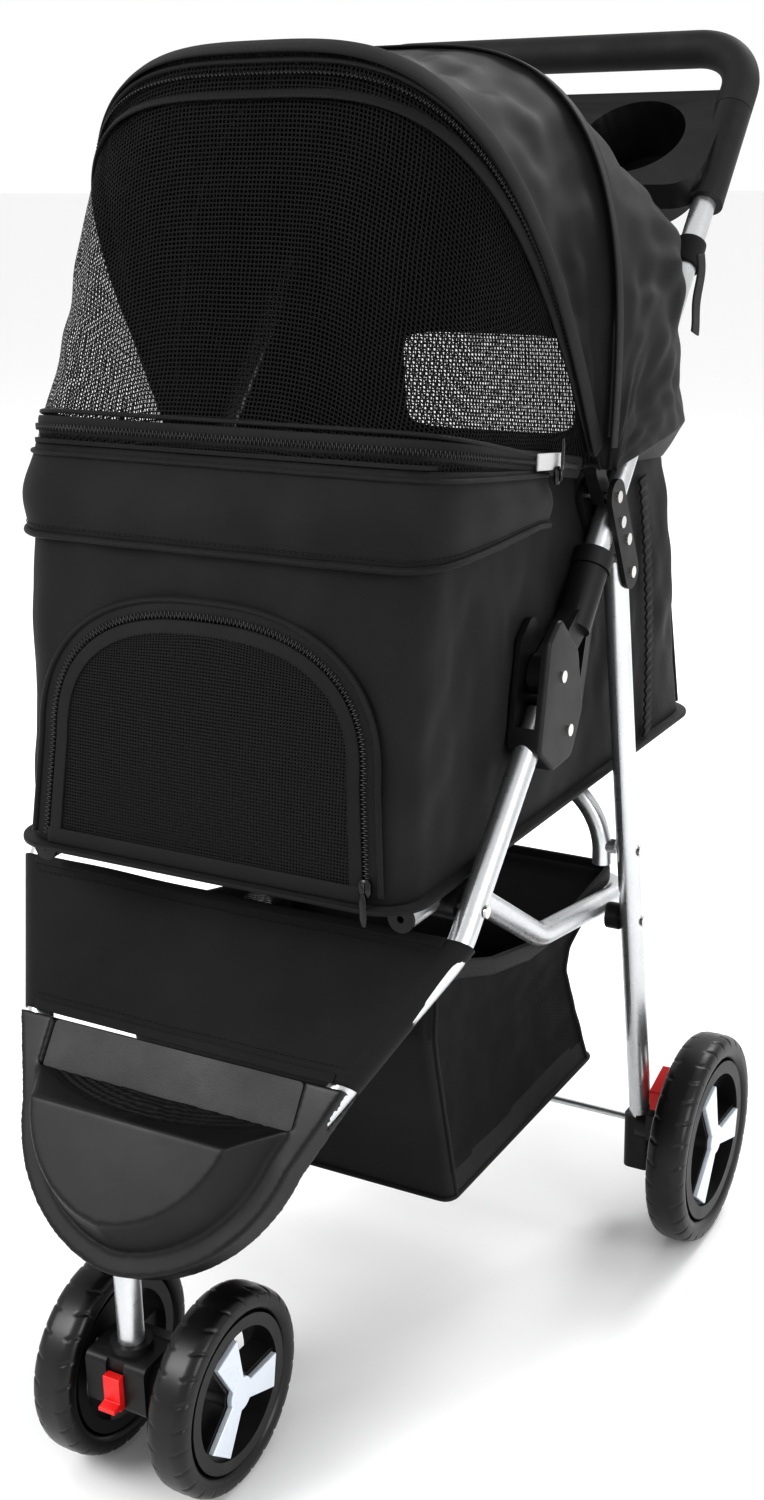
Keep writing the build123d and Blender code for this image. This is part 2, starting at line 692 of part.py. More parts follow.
def wheel(name, x, y, radius, width, outward):
    """Tyre, rim and pale spoke face of one wheel that stands on the ground."""
    section = Plane(origin=(x, y, radius), x_dir=(1, 0, 0), z_dir=(0, -1, 0))
    axis = Axis((x, y, radius), (1, 0, 0))
    rim_r = rim_share * radius
    open_r = opening_share * radius
    with BuildPart() as tyre:
        with BuildSketch(section) as tyre_section:
            with Locations((0, (radius + rim_r) / 2)):
                Rectangle(width, radius - rim_r)
            fillet(tyre_section.vertices().group_by(Axis.Y)[-1], tyre_shoulder)
        revolve(axis=axis)
    save(tyre, f"{name}_tyre")

    face_plane = Plane(origin=(x, y, radius), x_dir=(0, outward, 0), z_dir=(outward, 0, 0))
    first_arm = outward * spoke_angle
    hub_w, end_w = spoke_width
    with BuildPart() as rim:
        with BuildSketch(face_plane.offset(-width / 2 + rim_edge)):
            Circle(rim_r)
            Circle(open_r, mode=Mode.SUBTRACT)
        extrude(amount=width - 2 * rim_edge)
        with BuildSketch(face_plane.offset(-width / 2 - hub_lip)):
            Circle(hub_r)
        extrude(amount=(0.5 + face_share) * width + hub_lip)
        with BuildSketch(face_plane.offset(-width / 4)):
            with PolarLocations(0, 3, start_angle=first_arm):
                add(flared_arm(hub_w + arm_widening, end_w + arm_widening, hub_r * 0.6, open_r + 1))
        extrude(amount=width * (0.25 + face_share))
        with BuildSketch(face_plane.offset(-width / 2 - 1)):
            Circle(axle_d / 2 + running)
        extrude(amount=width - 3 * apart, mode=Mode.SUBTRACT)
    save(rim, f"{name}_rim")

    with BuildPart() as spokes:
        with BuildSketch(face_plane.offset(width * face_share)):
            Circle(hub_r - 2)
            with PolarLocations(0, 3, start_angle=first_arm):
                add(flared_arm(hub_w, end_w, hub_r * 0.4, open_r - spoke_gap))
        extrude(amount=spoke_t)
    save(spokes, f"{name}_spokes")


for side, s in sides.items():
    wheel(f"front_wheel_{side}", s * front_x, stem_y + trail, front_r, front_w, s)
    wheel(f"rear_wheel_{side}", s * rear_x, rear_y, rear_r, rear_w, s)

# ---- caster ---------------------------------------------------------------------
front_axle_y = stem_y + trail
with BuildPart() as housing:
    housing_face = moved(housing_outline, stem_y, front_r)
    slab(housing_face, -housing_w / 2, housing_w / 2, corner=housing_corner)
    with BuildSketch(Plane.XY.offset(front_r + stem_collar[0])) as collar:
        with Locations((0, stem_y)):
            Circle(stem_collar_d / 2)
    extrude(collar.sketch, amount=stem_collar[1] - stem_collar[0])
    with BuildSketch(Plane.XY.offset(stem_bottom - apart)) as socket:
        with Locations((0, stem_y)):
            Circle(tube_d / 2 + running)
    extrude(socket.sketch, amount=stem_collar[1], mode=Mode.SUBTRACT)
    cross_cylinder(axle_d / 2, -housing_w, housing_w, front_axle_y, front_r, mode=Mode.SUBTRACT)
    channel = moved(lock_channel, stem_y, front_r)
    slab(channel, -lock_w / 2 - apart, lock_w / 2 + apart, mode=Mode.SUBTRACT)
save(housing, "caster_housing")

with BuildPart() as front_axle:
    axle_end = front_x + face_share * front_w - apart
    cross_cylinder(axle_d / 2, -axle_end, axle_end, front_axle_y, front_r)
save(front_axle, "front_axle")

with BuildPart() as swivel_lock:
    slab(moved(lock_outline, stem_y, front_r), -lock_w / 2, lock_w / 2, corner=1.0)
    slab(moved(lock_lip, stem_y, front_r), -lock_w / 2, lock_w / 2)
save(swivel_lock, "swivel_lock")

# ---- cabin ----------------------------------------------------------------------
front_lean = atan2(cabin_profile[4][1] - cabin_profile[0][1], cabin_profile[4][0] - cabin_profile[0][0])
door_plane = Plane(
    origin=(0, *cabin_profile[0]),
    x_dir=(1, 0, 0),
    z_dir=(0, -sin(front_lean), cos(front_lean)),
)


def door_outline(extra):
    """Arched doorway on the leaning front face, grown by a margin."""
    with BuildSketch(door_plane) as doorway:
        with BuildLine():
            Line((-door_half_width, door_sill), (door_half_width, door_sill))
            Line((door_half_width, door_sill), door_shoulder)
            ThreePointArc(door_shoulder, (0, door_top), (-door_shoulder[0], door_shoulder[1]))
            Line((-door_shoulder[0], door_shoulder[1]), (-door_half_width, door_sill))
        make_face()
        if extra:
            offset(amount=extra)
    return doorway


with BuildPart() as cabin:
    slab(cabin_profile, -cabin_half_width, cabin_half_width)
    lean_edges = cabin.faces().sort_by(Axis.Y)[0].edges().filter_by(Axis.X, reverse=True)
    fillet(lean_edges, cabin_corner)
    top_faces = [f for f in cabin.faces() if f.normal_at().Z > 0.5]
    offset(amount=-cloth, openings=top_faces)
    extrude(door_outline(door_gap).sketch, amount=-2 * cloth, mode=Mode.SUBTRACT)
save(cabin, "cabin_shell")

with BuildPart() as door:
    extrude(door_outline(0).sketch, amount=-cloth)
save(door, "front_door")

with BuildPart() as floor_pad:
    pad_front = cabin_profile[0][0] + pad_inset
    pad_rear = cabin_profile[1][0] - pad_inset - pad_t / 4
    with BuildSketch(Plane.XY.offset(cabin_profile[0][1] + cloth + apart)):
        with Locations((0, (pad_front + pad_rear) / 2)):
            RectangleRounded(2 * (cabin_half_width - pad_inset), pad_rear - pad_front, cabin_corner)
    extrude(amount=pad_t)
save(floor_pad, "floor_pad")


# ---- canopy ---------------------------------------------------------------------
def hood_volume(inset, drop):
    """Space under the canopy: side outline, front outline and plan outline in common."""
    half = hood_half_width - inset
    front, top_front, top_rear, rear_top, rear_foot_point, middle = hood_profile
    outline = [
        (front[0] + inset, front[1] - drop),
        (top_front[0] + inset, top_front[1] - inset),
        (top_rear[0] - inset / 2, top_rear[1] - inset),
        (rear_top[0] - inset, rear_top[1] - inset / 2),
        (rear_foot_point[0] - inset, rear_foot_point[1] - drop),
        (middle[0], middle[1] - drop),
    ]
    with BuildPart() as volume:
        slab(outline, -half, half)
        with BuildSketch(Plane.XZ.offset(-400)) as front_face:
            with BuildLine():
                wall = Line((half, 0), (half, hood_shoulder_z))
                ThreePointArc(
                    wall @ 1,
                    (hood_shoulder[0] - inset * 0.8, hood_shoulder[1] - inset * 0.6),
                    (0, hood_profile[1][1] - inset),
                )
                mirror(about=Plane.YZ)
                Line((-half, 0), (half, 0))
            make_face()
        extrude(front_face.sketch, amount=800, mode=Mode.INTERSECT)
        with BuildSketch() as plan:
            with BuildLine():
                Polyline(
                    (hood_nose_half_width - inset, hood_profile[0][0] - 6),
                    (half, hood_wide_y),
                    (half, 400),
                    (-half, 400),
                    (-half, hood_wide_y),
                    (-hood_nose_half_width + inset, hood_profile[0][0] - 6),
                    close=True,
                )
            make_face()
        extrude(plan.sketch, amount=1200, mode=Mode.INTERSECT)
    return volume


tilt = radians(front_hoop_tilt)
hoop_plane = Plane(origin=(0, *stalk_pivot), x_dir=(1, 0, 0), z_dir=(0, -sin(tilt), cos(tilt)))
canopy_shell = hood_volume(0, 0).part - hood_volume(cloth, 12).part
with BuildPart() as hood:
    add(canopy_shell)
    split(bisect_by=hoop_plane, keep=Keep.BOTTOM)
    for s in sides.values():
        add(rod_along_handle(s, sleeve_end, handle_reach, tube_d + 4 * apart), mode=Mode.SUBTRACT)
save(hood, "canopy_hood")

with BuildPart() as window:
    add(canopy_shell)
    split(bisect_by=hoop_plane.offset(apart), keep=Keep.TOP)
save(window, "front_window")


def hoop_rod(tilt_angle, half_profile):
    """Springy rod bent to a hoop in a plane through the canopy pivots."""
    a = radians(tilt_angle)
    points = [(x, stalk_pivot[0] + r * cos(a), stalk_pivot[1] + r * sin(a)) for x, r in half_profile]
    points += [(-x, y, z) for x, y, z in reversed(points)]
    return swept_tube(points, hoop_rod_bend, hoop_rod_d, 0)


save(hoop_rod(front_hoop_tilt, front_hoop), "front_hoop")
save(hoop_rod(mid_hoop_tilt, mid_hoop), "mid_hoop")

# ---- basket ---------------------------------------------------------------------
with BuildPart() as basket:
    slab(basket_profile, -basket_half_width, basket_half_width)
    lid = [f for f in basket.faces() if f.normal_at().Z > 0.9]
    offset(amount=-cloth, openings=lid)
save(basket, "basket")
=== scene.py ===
"""A black three-wheel pet stroller: fabric, nets, zips and finishes over the CAD frame.

Metres, +Z up, front to -Y, left is +X."""
import json
import math

import bmesh
import bpy
import numpy as np
from mathutils import Matrix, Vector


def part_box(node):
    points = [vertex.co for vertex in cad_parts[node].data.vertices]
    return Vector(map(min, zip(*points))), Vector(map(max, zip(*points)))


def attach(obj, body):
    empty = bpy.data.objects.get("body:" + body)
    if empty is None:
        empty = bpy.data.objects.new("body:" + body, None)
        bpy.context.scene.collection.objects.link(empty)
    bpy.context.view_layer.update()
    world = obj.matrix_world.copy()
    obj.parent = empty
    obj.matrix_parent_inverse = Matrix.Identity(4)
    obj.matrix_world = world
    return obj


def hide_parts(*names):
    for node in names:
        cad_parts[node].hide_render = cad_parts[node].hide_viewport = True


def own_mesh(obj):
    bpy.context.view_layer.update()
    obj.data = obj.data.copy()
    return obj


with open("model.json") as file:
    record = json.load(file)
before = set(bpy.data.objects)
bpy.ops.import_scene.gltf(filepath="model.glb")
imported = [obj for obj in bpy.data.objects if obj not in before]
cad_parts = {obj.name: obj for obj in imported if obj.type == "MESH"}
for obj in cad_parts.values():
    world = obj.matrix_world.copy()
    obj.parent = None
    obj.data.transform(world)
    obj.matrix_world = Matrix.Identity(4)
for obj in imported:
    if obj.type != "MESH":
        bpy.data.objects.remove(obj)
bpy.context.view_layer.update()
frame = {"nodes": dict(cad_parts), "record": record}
BODIES = frame["record"]["behaviour"]["bodies"]
BODY_OF = {node: body for body, nodes in BODIES.items() for node in nodes}
SLOT_OF = {p["node"]: p["material_slot"] for p in frame["record"]["subparts"]}

# ---- driving places, all in the row frame -----------------------------------------
SIDES = {"left": 1.0, "right": -1.0}
CABIN_LOW, CABIN_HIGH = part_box("cabin_shell")
CABIN_HALF = CABIN_HIGH[0]
CABIN_FLOOR = CABIN_LOW[2]
CABIN_FRONT = ((CABIN_FLOOR, 0.717), (CABIN_LOW[1], -0.184))  # heights, places
CABIN_REAR = ((CABIN_FLOOR, 0.670), (CABIN_HIGH[1], 0.240))
CABIN_TOP = ((0.0, 0.51, 1.0), (0.717, 0.684, 0.670))  # share of the depth, height
CABIN_CORNER, CABIN_COLUMNS = 0.026, 336
CLOTH = 0.0012
PIVOT = (0.0385, 0.686)  # canopy pivot, Y and Z
CANOPY_OUTLINE = ((-0.184, 0.717), (-0.113, 0.978), (0.080, 0.978),
                  (0.220, 0.857), (0.238, 0.668))  # side view, Y and Z, front to rear
TILTS = (-5.2, 5.0, 45.0, 60.0, 82.0, 100.0, 117.5, 172.0)  # degrees round the canopy pivot
CANOPY_HALF = (0.178, 0.197, 0.198, 0.197, 0.191, 0.187, 0.183, 0.1745)
CANOPY_SQUARE = (7.0, 9.0, 9.0, 5.0, 3.1, 3.1, 3.2, 9.0)
REAR_TILT, MID_TILT, FRONT_TILT, NOSE_TILT = -5.2, 82.0, 117.5, 172.0
ROD_R = 0.003
SLEEVE_CURVE = 12.0  # the sleeves' sides drop by this times their distance squared
REAR_WINDOW_HALF, REAR_WINDOW_SQUARE, REAR_WINDOW_SINK = 0.085, 6.0, 0.004
REAR_WINDOW_TILT, REAR_WINDOW_SWING = 9.2, 13.4  # middle and half-height, in degrees
DOOR_SILL, DOOR_SHOULDER, DOOR_TOP = 0.008, 0.082, 0.178  # up the front face
DOOR_HALF, DOOR_SHOULDER_HALF, DOOR_SQUARE = 0.132, 0.126, 2.5
BAND_DROP, BAND_DROP_FOLDS = 0.062, 0.06  # the skirt's depth, as hung and for its creases
CABIN_CENTRE = (0.0, 0.03, 0.56)
CANOPY_CENTRE = (0.0, 0.02, 0.72)


# ---- arrays ---------------------------------------------------------------------
def unit(v):
    """Vectors divided by their lengths."""
    return v / np.maximum(np.linalg.norm(v, axis=-1, keepdims=True), 1e-12)


def arc_places(path):
    """Distance travelled at each point of a path."""
    steps = np.linalg.norm(np.diff(path, axis=0), axis=1)
    return np.concatenate([[0.0], np.cumsum(steps)])


def even(path, count):
    """The same path with count points at equal distances."""
    places = arc_places(path)
    wanted = np.linspace(0.0, places[-1], count)
    return np.stack([np.interp(wanted, places, path[:, k]) for k in range(3)], axis=1)


def folds(a, b, seed, short=0.05, long=0.17, waves=9):
    """Soft creases: a mean of sine waves of random heading, length and phase over a and b."""
    rng = np.random.default_rng(seed)
    heading = rng.uniform(0, math.pi, waves)
    number = 2 * math.pi / rng.uniform(short, long, waves)
    phase = rng.uniform(0, 2 * math.pi, waves)
    total = np.zeros(np.broadcast(a, b).shape)
    for h, k, p in zip(heading, number, phase):
        total += np.sin(k * (a * math.cos(h) + b * math.sin(h)) + p)
    return total / math.sqrt(waves)


def bell(x, centre, width):
    """Gaussian bump of height 1."""
    return np.exp(-(((x - centre) / width) ** 2))


def superellipse(angle, power):
    """Cosine and sine of a squared-off circle: each is raised to 2 / power and keeps its sign."""
    c, s = np.cos(angle), np.sin(angle)
    return np.sign(c) * np.abs(c) ** (2 / power), np.sign(s) * np.abs(s) ** (2 / power)


# ---- meshes ---------------------------------------------------------------------
def put(name, vertices, faces, slot, finish=None, uv=None, smooth=True):
    """A mesh object from arrays of corners and faces, with an optional UV in metres per corner.

    It takes the finish of its slot unless another is given."""
    mesh = bpy.data.meshes.new(name)
    mesh.from_pydata(np.asarray(vertices, float).reshape(-1, 3).tolist(), [], [list(f) for f in faces])
    if uv is not None:
        layer = mesh.uv_layers.new(name="cloth")
        corner = np.empty(len(mesh.loops), dtype=np.int32)
        mesh.loops.foreach_get("vertex_index", corner)
        layer.data.foreach_set("uv", np.asarray(uv, float)[corner].ravel())
    mesh.polygons.foreach_set("use_smooth", [smooth] * len(mesh.polygons))
    mesh.materials.append(finish or FINISH[slot])
    mesh.update()
    obj = bpy.data.objects.new(name, mesh)
    bpy.context.scene.collection.objects.link(obj)
    return obj


def grid_faces(rows, columns, wrap):
    """Quads between neighbouring rows and columns of a grid; wrap joins the last column to the first."""
    across = columns if wrap else columns - 1
    r, c = np.meshgrid(np.arange(rows - 1), np.arange(across), indexing="ij")
    n = (c + 1) % columns
    low, high = r * columns, (r + 1) * columns
    return np.stack([low + c, low + n, high + n, high + c], axis=-1)


def grid_uv(grid):
    """Distances on a grid: each row's from its own middle, each column's from the first row."""
    u = np.cumsum(np.linalg.norm(np.diff(grid, axis=1, prepend=grid[:, :1]), axis=2), axis=1)
    v = np.cumsum(np.linalg.norm(np.diff(grid, axis=0, prepend=grid[:1]), axis=2), axis=0)
    return np.stack([u - u[:, -1:] / 2, v], axis=-1).reshape(-1, 2)


def cloth(name, grid, slot, centre, finish=None, wrap=False, keep=None, thickness=CLOTH):
    """A sheet over a grid of points, faces away from centre; keep says which cells there are.

    A wrapped grid repeats its first column, so that its UV runs on, and is then merged."""
    if wrap:
        grid = np.concatenate([grid, grid[:, :1]], axis=1)
    rows, columns = grid.shape[:2]
    faces = grid_faces(rows, columns, False)
    faces = faces.reshape(-1, 4) if keep is None else faces[keep]
    points = grid.reshape(-1, 3)
    a, b, d = points[faces[:, 0]], points[faces[:, 1]], points[faces[:, 3]]
    outward = np.cross(b - a, d - a)
    if (outward * (a - np.asarray(centre))).sum() < 0:
        faces = faces[:, ::-1]
    used, faces = np.unique(faces, return_inverse=True)
    obj = put(name, points[used], faces.reshape(-1, 4), slot, finish, grid_uv(grid)[used])
    if wrap:
        merge(obj, outwards=False)
    if thickness:
        wall = obj.modifiers.new("wall", "SOLIDIFY")
        wall.thickness = thickness
        wall.offset = -1.0
    return obj


def sweep(name, path, section, up, slot, closed=False):
    """A closed section carried along a path: path + section x times side + section y times up."""
    path = np.asarray(path, float)
    if closed:
        tangent = unit(np.roll(path, -1, 0) - np.roll(path, 1, 0))
    else:
        tangent = unit(np.gradient(path, axis=0))
    guide = np.broadcast_to(np.asarray(up, float), path.shape)
    side = unit(np.cross(tangent, guide))
    lift = np.cross(side, tangent)
    section = np.asarray(section, float)
    grid = (path[:, None] + section[None, :, :1] * side[:, None]
            + section[None, :, 1:] * lift[:, None])
    rows, columns = grid.shape[:2]
    if closed:
        grid = np.concatenate([grid, grid[:1]])
        faces = grid_faces(rows + 1, columns, True).reshape(-1, 4) % (rows * columns)
        grid = grid[:-1]
        faces = [list(f) for f in faces]
    else:
        faces = [list(f) for f in grid_faces(rows, columns, True).reshape(-1, 4)]
        faces += [list(range(columns))[::-1], [(rows - 1) * columns + i for i in range(columns)]]
    obj = put(name, grid, faces, slot, uv=grid_uv(grid))
    recalculate(obj)
    return obj


def recalculate(obj):
    """Turns every face of a closed mesh outwards."""
    shape = bmesh.new()
    shape.from_mesh(obj.data)
    bmesh.ops.recalc_face_normals(shape, faces=shape.faces)
    shape.to_mesh(obj.data)
    shape.free()


def round_section(radius, count=10):
    """Circle."""
    a = np.linspace(0, 2 * math.pi, count, endpoint=False)
    return np.stack([radius * np.cos(a), radius * np.sin(a)], axis=1)


def tape_section(width, thickness, count=16):
    """Flat band with rounded edges: a superellipse as wide as the tape."""
    c, s = superellipse(np.linspace(0, 2 * math.pi, count, endpoint=False), 5.0)
    return np.stack([width / 2 * c, thickness / 2 * s], axis=1)


OCTAGON = ((1, 0.4), (0.4, 1), (-0.4, 1), (-1, 0.4), (-1, -0.4), (-0.4, -1), (0.4, -1), (1, -0.4))
RINGS = ((-1, 0.6), (-0.5, 1), (0.5, 1), (1, 0.6))  # height and share of the full width
CAPSULE = np.array([(x * t, y * t, z) for z, t in RINGS for x, y in OCTAGON])
CAPSULE_FACES = [list(f) for f in grid_faces(len(RINGS), len(OCTAGON), True).reshape(-1, 4)]
CAPSULE_FACES += [list(range(8))[::-1], list(range(24, 32))]


def capsule_faces(count):
    """Faces of a row of capsules, each with its own corners."""
    return [[i + len(CAPSULE) * k for i in f] for k in range(count) for f in CAPSULE_FACES]


def repeated(name, places, along, up, size, slot):
    """A small capsule at every place, its length along; size is the (side, up, along) half sizes."""
    along = unit(along)
    side = unit(np.cross(along, up))
    lift = np.cross(side, along)
    local = CAPSULE * np.asarray(size)
    points = (places[:, None] + local[None, :, :1] * side[:, None]
              + local[None, :, 1:2] * lift[:, None] + local[None, :, 2:] * along[:, None])
    obj = put(name, points, capsule_faces(len(places)), slot)
    recalculate(obj)
    return obj


def path_frames(path, pitch, up):
    """Places every pitch along a path, with tangent and guide vector there."""
    places = arc_places(path)
    wanted = np.arange(pitch / 2, places[-1], pitch)
    spots = np.stack([np.interp(wanted, places, path[:, k]) for k in range(3)], axis=1)
    guide = np.broadcast_to(np.asarray(up, float), path.shape)
    guide = np.stack([np.interp(wanted, places, guide[:, k]) for k in range(3)], axis=1)
    return spots, np.gradient(spots, axis=0), guide


def stitches(name, path, up, stitch=0.0034, pitch=0.0046):
    """A row of sewn stitches that stands on the cloth along a path."""
    spots, along, guide = path_frames(path, pitch, up)
    return repeated(name, spots, along, guide, (0.00038, 0.0003, stitch / 2), "piping_black")


def zip_chain(name, path, up, pitch=0.0016):
    """Coil teeth: capsules across the chain, set a little left and right by turns."""
    spots, along, guide = path_frames(path, pitch, up)
    side = unit(np.cross(along, guide))
    swing = np.where(np.arange(len(spots)) % 2, 0.0007, -0.0007)[:, None]
    return repeated(name, spots + swing * side, side, guide, (0.0005, 0.0007, 0.0017), "zip_coil")


# ---- shader groups ----------------------------------------------------------------
def group(name, inputs, outputs):
    """An empty shader group with named number, vector or colour sockets."""
    tree = bpy.data.node_groups.new(name, "ShaderNodeTree")
    kinds = {"number": "NodeSocketFloat", "vector": "NodeSocketVector", "colour": "NodeSocketColor"}
    for label, kind, value in inputs:
        socket = tree.interface.new_socket(label, in_out="INPUT", socket_type=kinds[kind])
        if value is not None:
            socket.default_value = value
    for label, kind in outputs:
        tree.interface.new_socket(label, in_out="OUTPUT", socket_type=kinds[kind])
    return tree, tree.nodes.new("NodeGroupInput"), tree.nodes.new("NodeGroupOutput")


def feed(tree, socket, value):
    """Links a socket, or sets it where the value is a plain number or colour."""
    if isinstance(value, bpy.types.NodeSocket):
        tree.links.new(value, socket)
    else:
        socket.default_value = value


def maths(tree, operation, a, b=0.0, c=0.0):
    """One Math node and its result."""
    node = tree.nodes.new("ShaderNodeMath")
    node.operation = operation
    for socket, value in zip(node.inputs, (a, b, c)):
        feed(tree, socket, value)
    return node.outputs[0]


def noise(tree, vector, scale, detail=3.0, roughness=0.5):
    """One Noise Texture and its factor."""
    node = tree.nodes.new("ShaderNodeTexNoise")
    feed(tree, node.inputs["Vector"], vector)
    feed(tree, node.inputs["Scale"], scale)
    node.inputs["Detail"].default_value = detail
    node.inputs["Roughness"].default_value = roughness
    return node.outputs["Fac"]


def spread(tree, value, low, high, to_low=0.0, to_high=1.0):
    """Map Range of a value, clamped."""
    node = tree.nodes.new("ShaderNodeMapRange")
    for label, v in (("Value", value), ("From Min", low), ("From Max", high),
                     ("To Min", to_low), ("To Max", to_high)):
        feed(tree, node.inputs[label], v)
    return node.outputs["Result"]


def blend_colour(tree, factor, a, b):
    """Mix of two colours."""
    node = tree.nodes.new("ShaderNodeMix")
    node.data_type = "RGBA"
    feed(tree, node.inputs[0], factor)
    feed(tree, node.inputs[6], a)
    feed(tree, node.inputs[7], b)
    return node.outputs[2]


def make_weave():
    """Plain weave: the product of two sine waves, one along each thread, with stretched noise."""
    tree, given, out = group(
        "weave", [("Vector", "vector", None), ("Pitch", "number", 0.0009), ("Slub", "number", 0.5)],
        [("Height", "number"), ("Shade", "number")])
    split = tree.nodes.new("ShaderNodeSeparateXYZ")
    tree.links.new(given.outputs["Vector"], split.inputs[0])
    turns = maths(tree, "DIVIDE", 2 * math.pi, given.outputs["Pitch"])
    warp = maths(tree, "SINE", maths(tree, "MULTIPLY", split.outputs[0], turns))
    weft = maths(tree, "SINE", maths(tree, "MULTIPLY", split.outputs[1], turns))
    knit = maths(tree, "MULTIPLY_ADD", maths(tree, "MULTIPLY", warp, weft), 0.5, 0.5)
    stretch = tree.nodes.new("ShaderNodeCombineXYZ")
    feed(tree, stretch.inputs[0], maths(tree, "MULTIPLY", split.outputs[0], 40.0))
    feed(tree, stretch.inputs[1], maths(tree, "MULTIPLY", split.outputs[1], 900.0))
    slub = noise(tree, stretch.outputs[0], 1.0, 2.0)
    height = maths(tree, "MULTIPLY_ADD", slub, given.outputs["Slub"], knit)
    tree.links.new(height, out.inputs["Height"])
    shade = maths(tree, "MULTIPLY_ADD", slub, 0.6, maths(tree, "MULTIPLY", knit, 0.4))
    tree.links.new(shade, out.inputs["Shade"])
    return tree


def make_net():
    """Square net: thread where a distance, folded into one pitch, is near the pitch's middle."""
    tree, given, out = group(
        "net", [("Vector", "vector", None), ("Pitch", "number", 0.003), ("Thread", "number", 0.4)],
        [("Cover", "number"), ("Height", "number")])
    split = tree.nodes.new("ShaderNodeSeparateXYZ")
    tree.links.new(given.outputs["Vector"], split.inputs[0])
    ridges = []
    for axis in (0, 1):
        turns = maths(tree, "DIVIDE", split.outputs[axis], given.outputs["Pitch"])
        saw = maths(tree, "ABSOLUTE", maths(tree, "SUBTRACT", maths(tree, "FRACT", turns), 0.5))
        ridges.append(maths(tree, "SUBTRACT", maths(tree, "MULTIPLY", given.outputs["Thread"], 0.5), saw))
    top = maths(tree, "MAXIMUM", *ridges)
    tree.links.new(spread(tree, top, -0.02, 0.02), out.inputs["Cover"])
    tree.links.new(spread(tree, top, 0.0, 0.2), out.inputs["Height"])
    return tree


def make_grain():
    """Moulded or rubber grain: fine noise over broad unevenness."""
    tree, given, out = group("grain", [("Vector", "vector", None), ("Scale", "number", 900.0)],
                             [("Height", "number"), ("Uneven", "number")])
    fine = noise(tree, given.outputs["Vector"], given.outputs["Scale"], 4.0, 0.6)
    broad = noise(tree, given.outputs["Vector"], 14.0, 4.0, 0.55)
    tree.links.new(fine, out.inputs["Height"])
    tree.links.new(broad, out.inputs["Uneven"])
    return tree


def make_wear():
    """Rubbed edges and settled dust: convex places broken up by noise, and a faint cloud."""
    tree, given, out = group(
        "wear", [("Vector", "vector", None), ("Edge", "number", 0.5), ("Dust", "number", 0.1)],
        [("Rubbed", "number"), ("Dusty", "number")])
    geometry = tree.nodes.new("ShaderNodeNewGeometry")
    edge = spread(tree, geometry.outputs["Pointiness"], 0.53, 0.6)
    patch = spread(tree, noise(tree, given.outputs["Vector"], 120.0, 4.0), 0.42, 0.62)
    rubbed = maths(tree, "MULTIPLY", maths(tree, "MULTIPLY", edge, patch), given.outputs["Edge"])
    cloud = spread(tree, noise(tree, given.outputs["Vector"], 30.0, 6.0, 0.65), 0.5, 0.8)
    tree.links.new(rubbed, out.inputs["Rubbed"])
    tree.links.new(maths(tree, "MULTIPLY", cloud, given.outputs["Dust"]), out.inputs["Dusty"])
    return tree


WEAVE, NET, GRAIN, WEAR = make_weave(), make_net(), make_grain(), make_wear()


def use(tree, which, vector, **values):
    """A group placed in a material, with its own values."""
    node = tree.nodes.new("ShaderNodeGroup")
    node.node_tree = which
    tree.links.new(vector, node.inputs["Vector"])
    for label, value in values.items():
        node.inputs[label].default_value = value
    return node.outputs


def material(name, **shader):
    """A Principled material, its shader, and the values that are the same all over it."""
    made = bpy.data.materials.new(name)
    made.use_nodes = True
    surface = made.node_tree.nodes["Principled BSDF"]
    for label, value in shader.items():
        surface.inputs[label.replace("_", " ")].default_value = value
    return made, made.node_tree, surface


def bumped(tree, surface, height, distance, strength=0.5):
    """A Bump node from a height to the shader's normal."""
    bump = tree.nodes.new("ShaderNodeBump")
    bump.inputs["Distance"].default_value = distance
    bump.inputs["Strength"].default_value = strength
    tree.links.new(height, bump.inputs["Height"])
    tree.links.new(bump.outputs["Normal"], surface.inputs["Normal"])


def coordinates(tree, kind):
    """Object or UV coordinates, in metres."""
    return tree.nodes.new("ShaderNodeTexCoord").outputs[kind]


def grey(value, warmth=0.0):
    """A near neutral colour; warmth lifts red and drops blue."""
    return (value * (1 + warmth), value, value * (1 - warmth), 1.0)


def fabric(name, dark, light, pitch=0.0009, sheen=0.06, rough=(0.5, 0.7), bump=0.0003):
    """Woven polyester: weave height, slubby shade and slow clouding."""
    made, tree, surface = material(name, Sheen_Weight=sheen, Sheen_Roughness=0.45,
                                   Specular_IOR_Level=0.26)
    uv = coordinates(tree, "UV")
    woven = use(tree, WEAVE, uv, Pitch=pitch, Slub=0.5)
    cloudy = noise(tree, coordinates(tree, "Object"), 9.0, 4.0)
    mixed = maths(tree, "MULTIPLY_ADD", cloudy, 0.5, maths(tree, "MULTIPLY", woven["Shade"], 0.5))
    shade = spread(tree, mixed, 0.3, 0.7)
    feed(tree, surface.inputs["Base Color"], blend_colour(tree, shade, dark, light))
    feed(tree, surface.inputs["Roughness"], spread(tree, cloudy, 0.3, 0.7, rough[1], rough[0]))
    bumped(tree, surface, woven["Height"], bump)
    return made


def netting(name, pitch, thread, colour):
    """Open net: threads by the cover mask, clear between them."""
    made, tree, surface = material(name, Specular_IOR_Level=0.15)
    knots = use(tree, NET, coordinates(tree, "UV"), Pitch=pitch, Thread=thread)
    cloudy = noise(tree, coordinates(tree, "Object"), 30.0, 3.0)
    lighter = grey(colour[0] * 2.2)
    feed(tree, surface.inputs["Base Color"], blend_colour(tree, cloudy, colour, lighter))
    feed(tree, surface.inputs["Roughness"], spread(tree, cloudy, 0.3, 0.7, 0.5, 0.7))
    feed(tree, surface.inputs["Alpha"], knots["Cover"])
    bumped(tree, surface, knots["Height"], 0.0004)
    return made


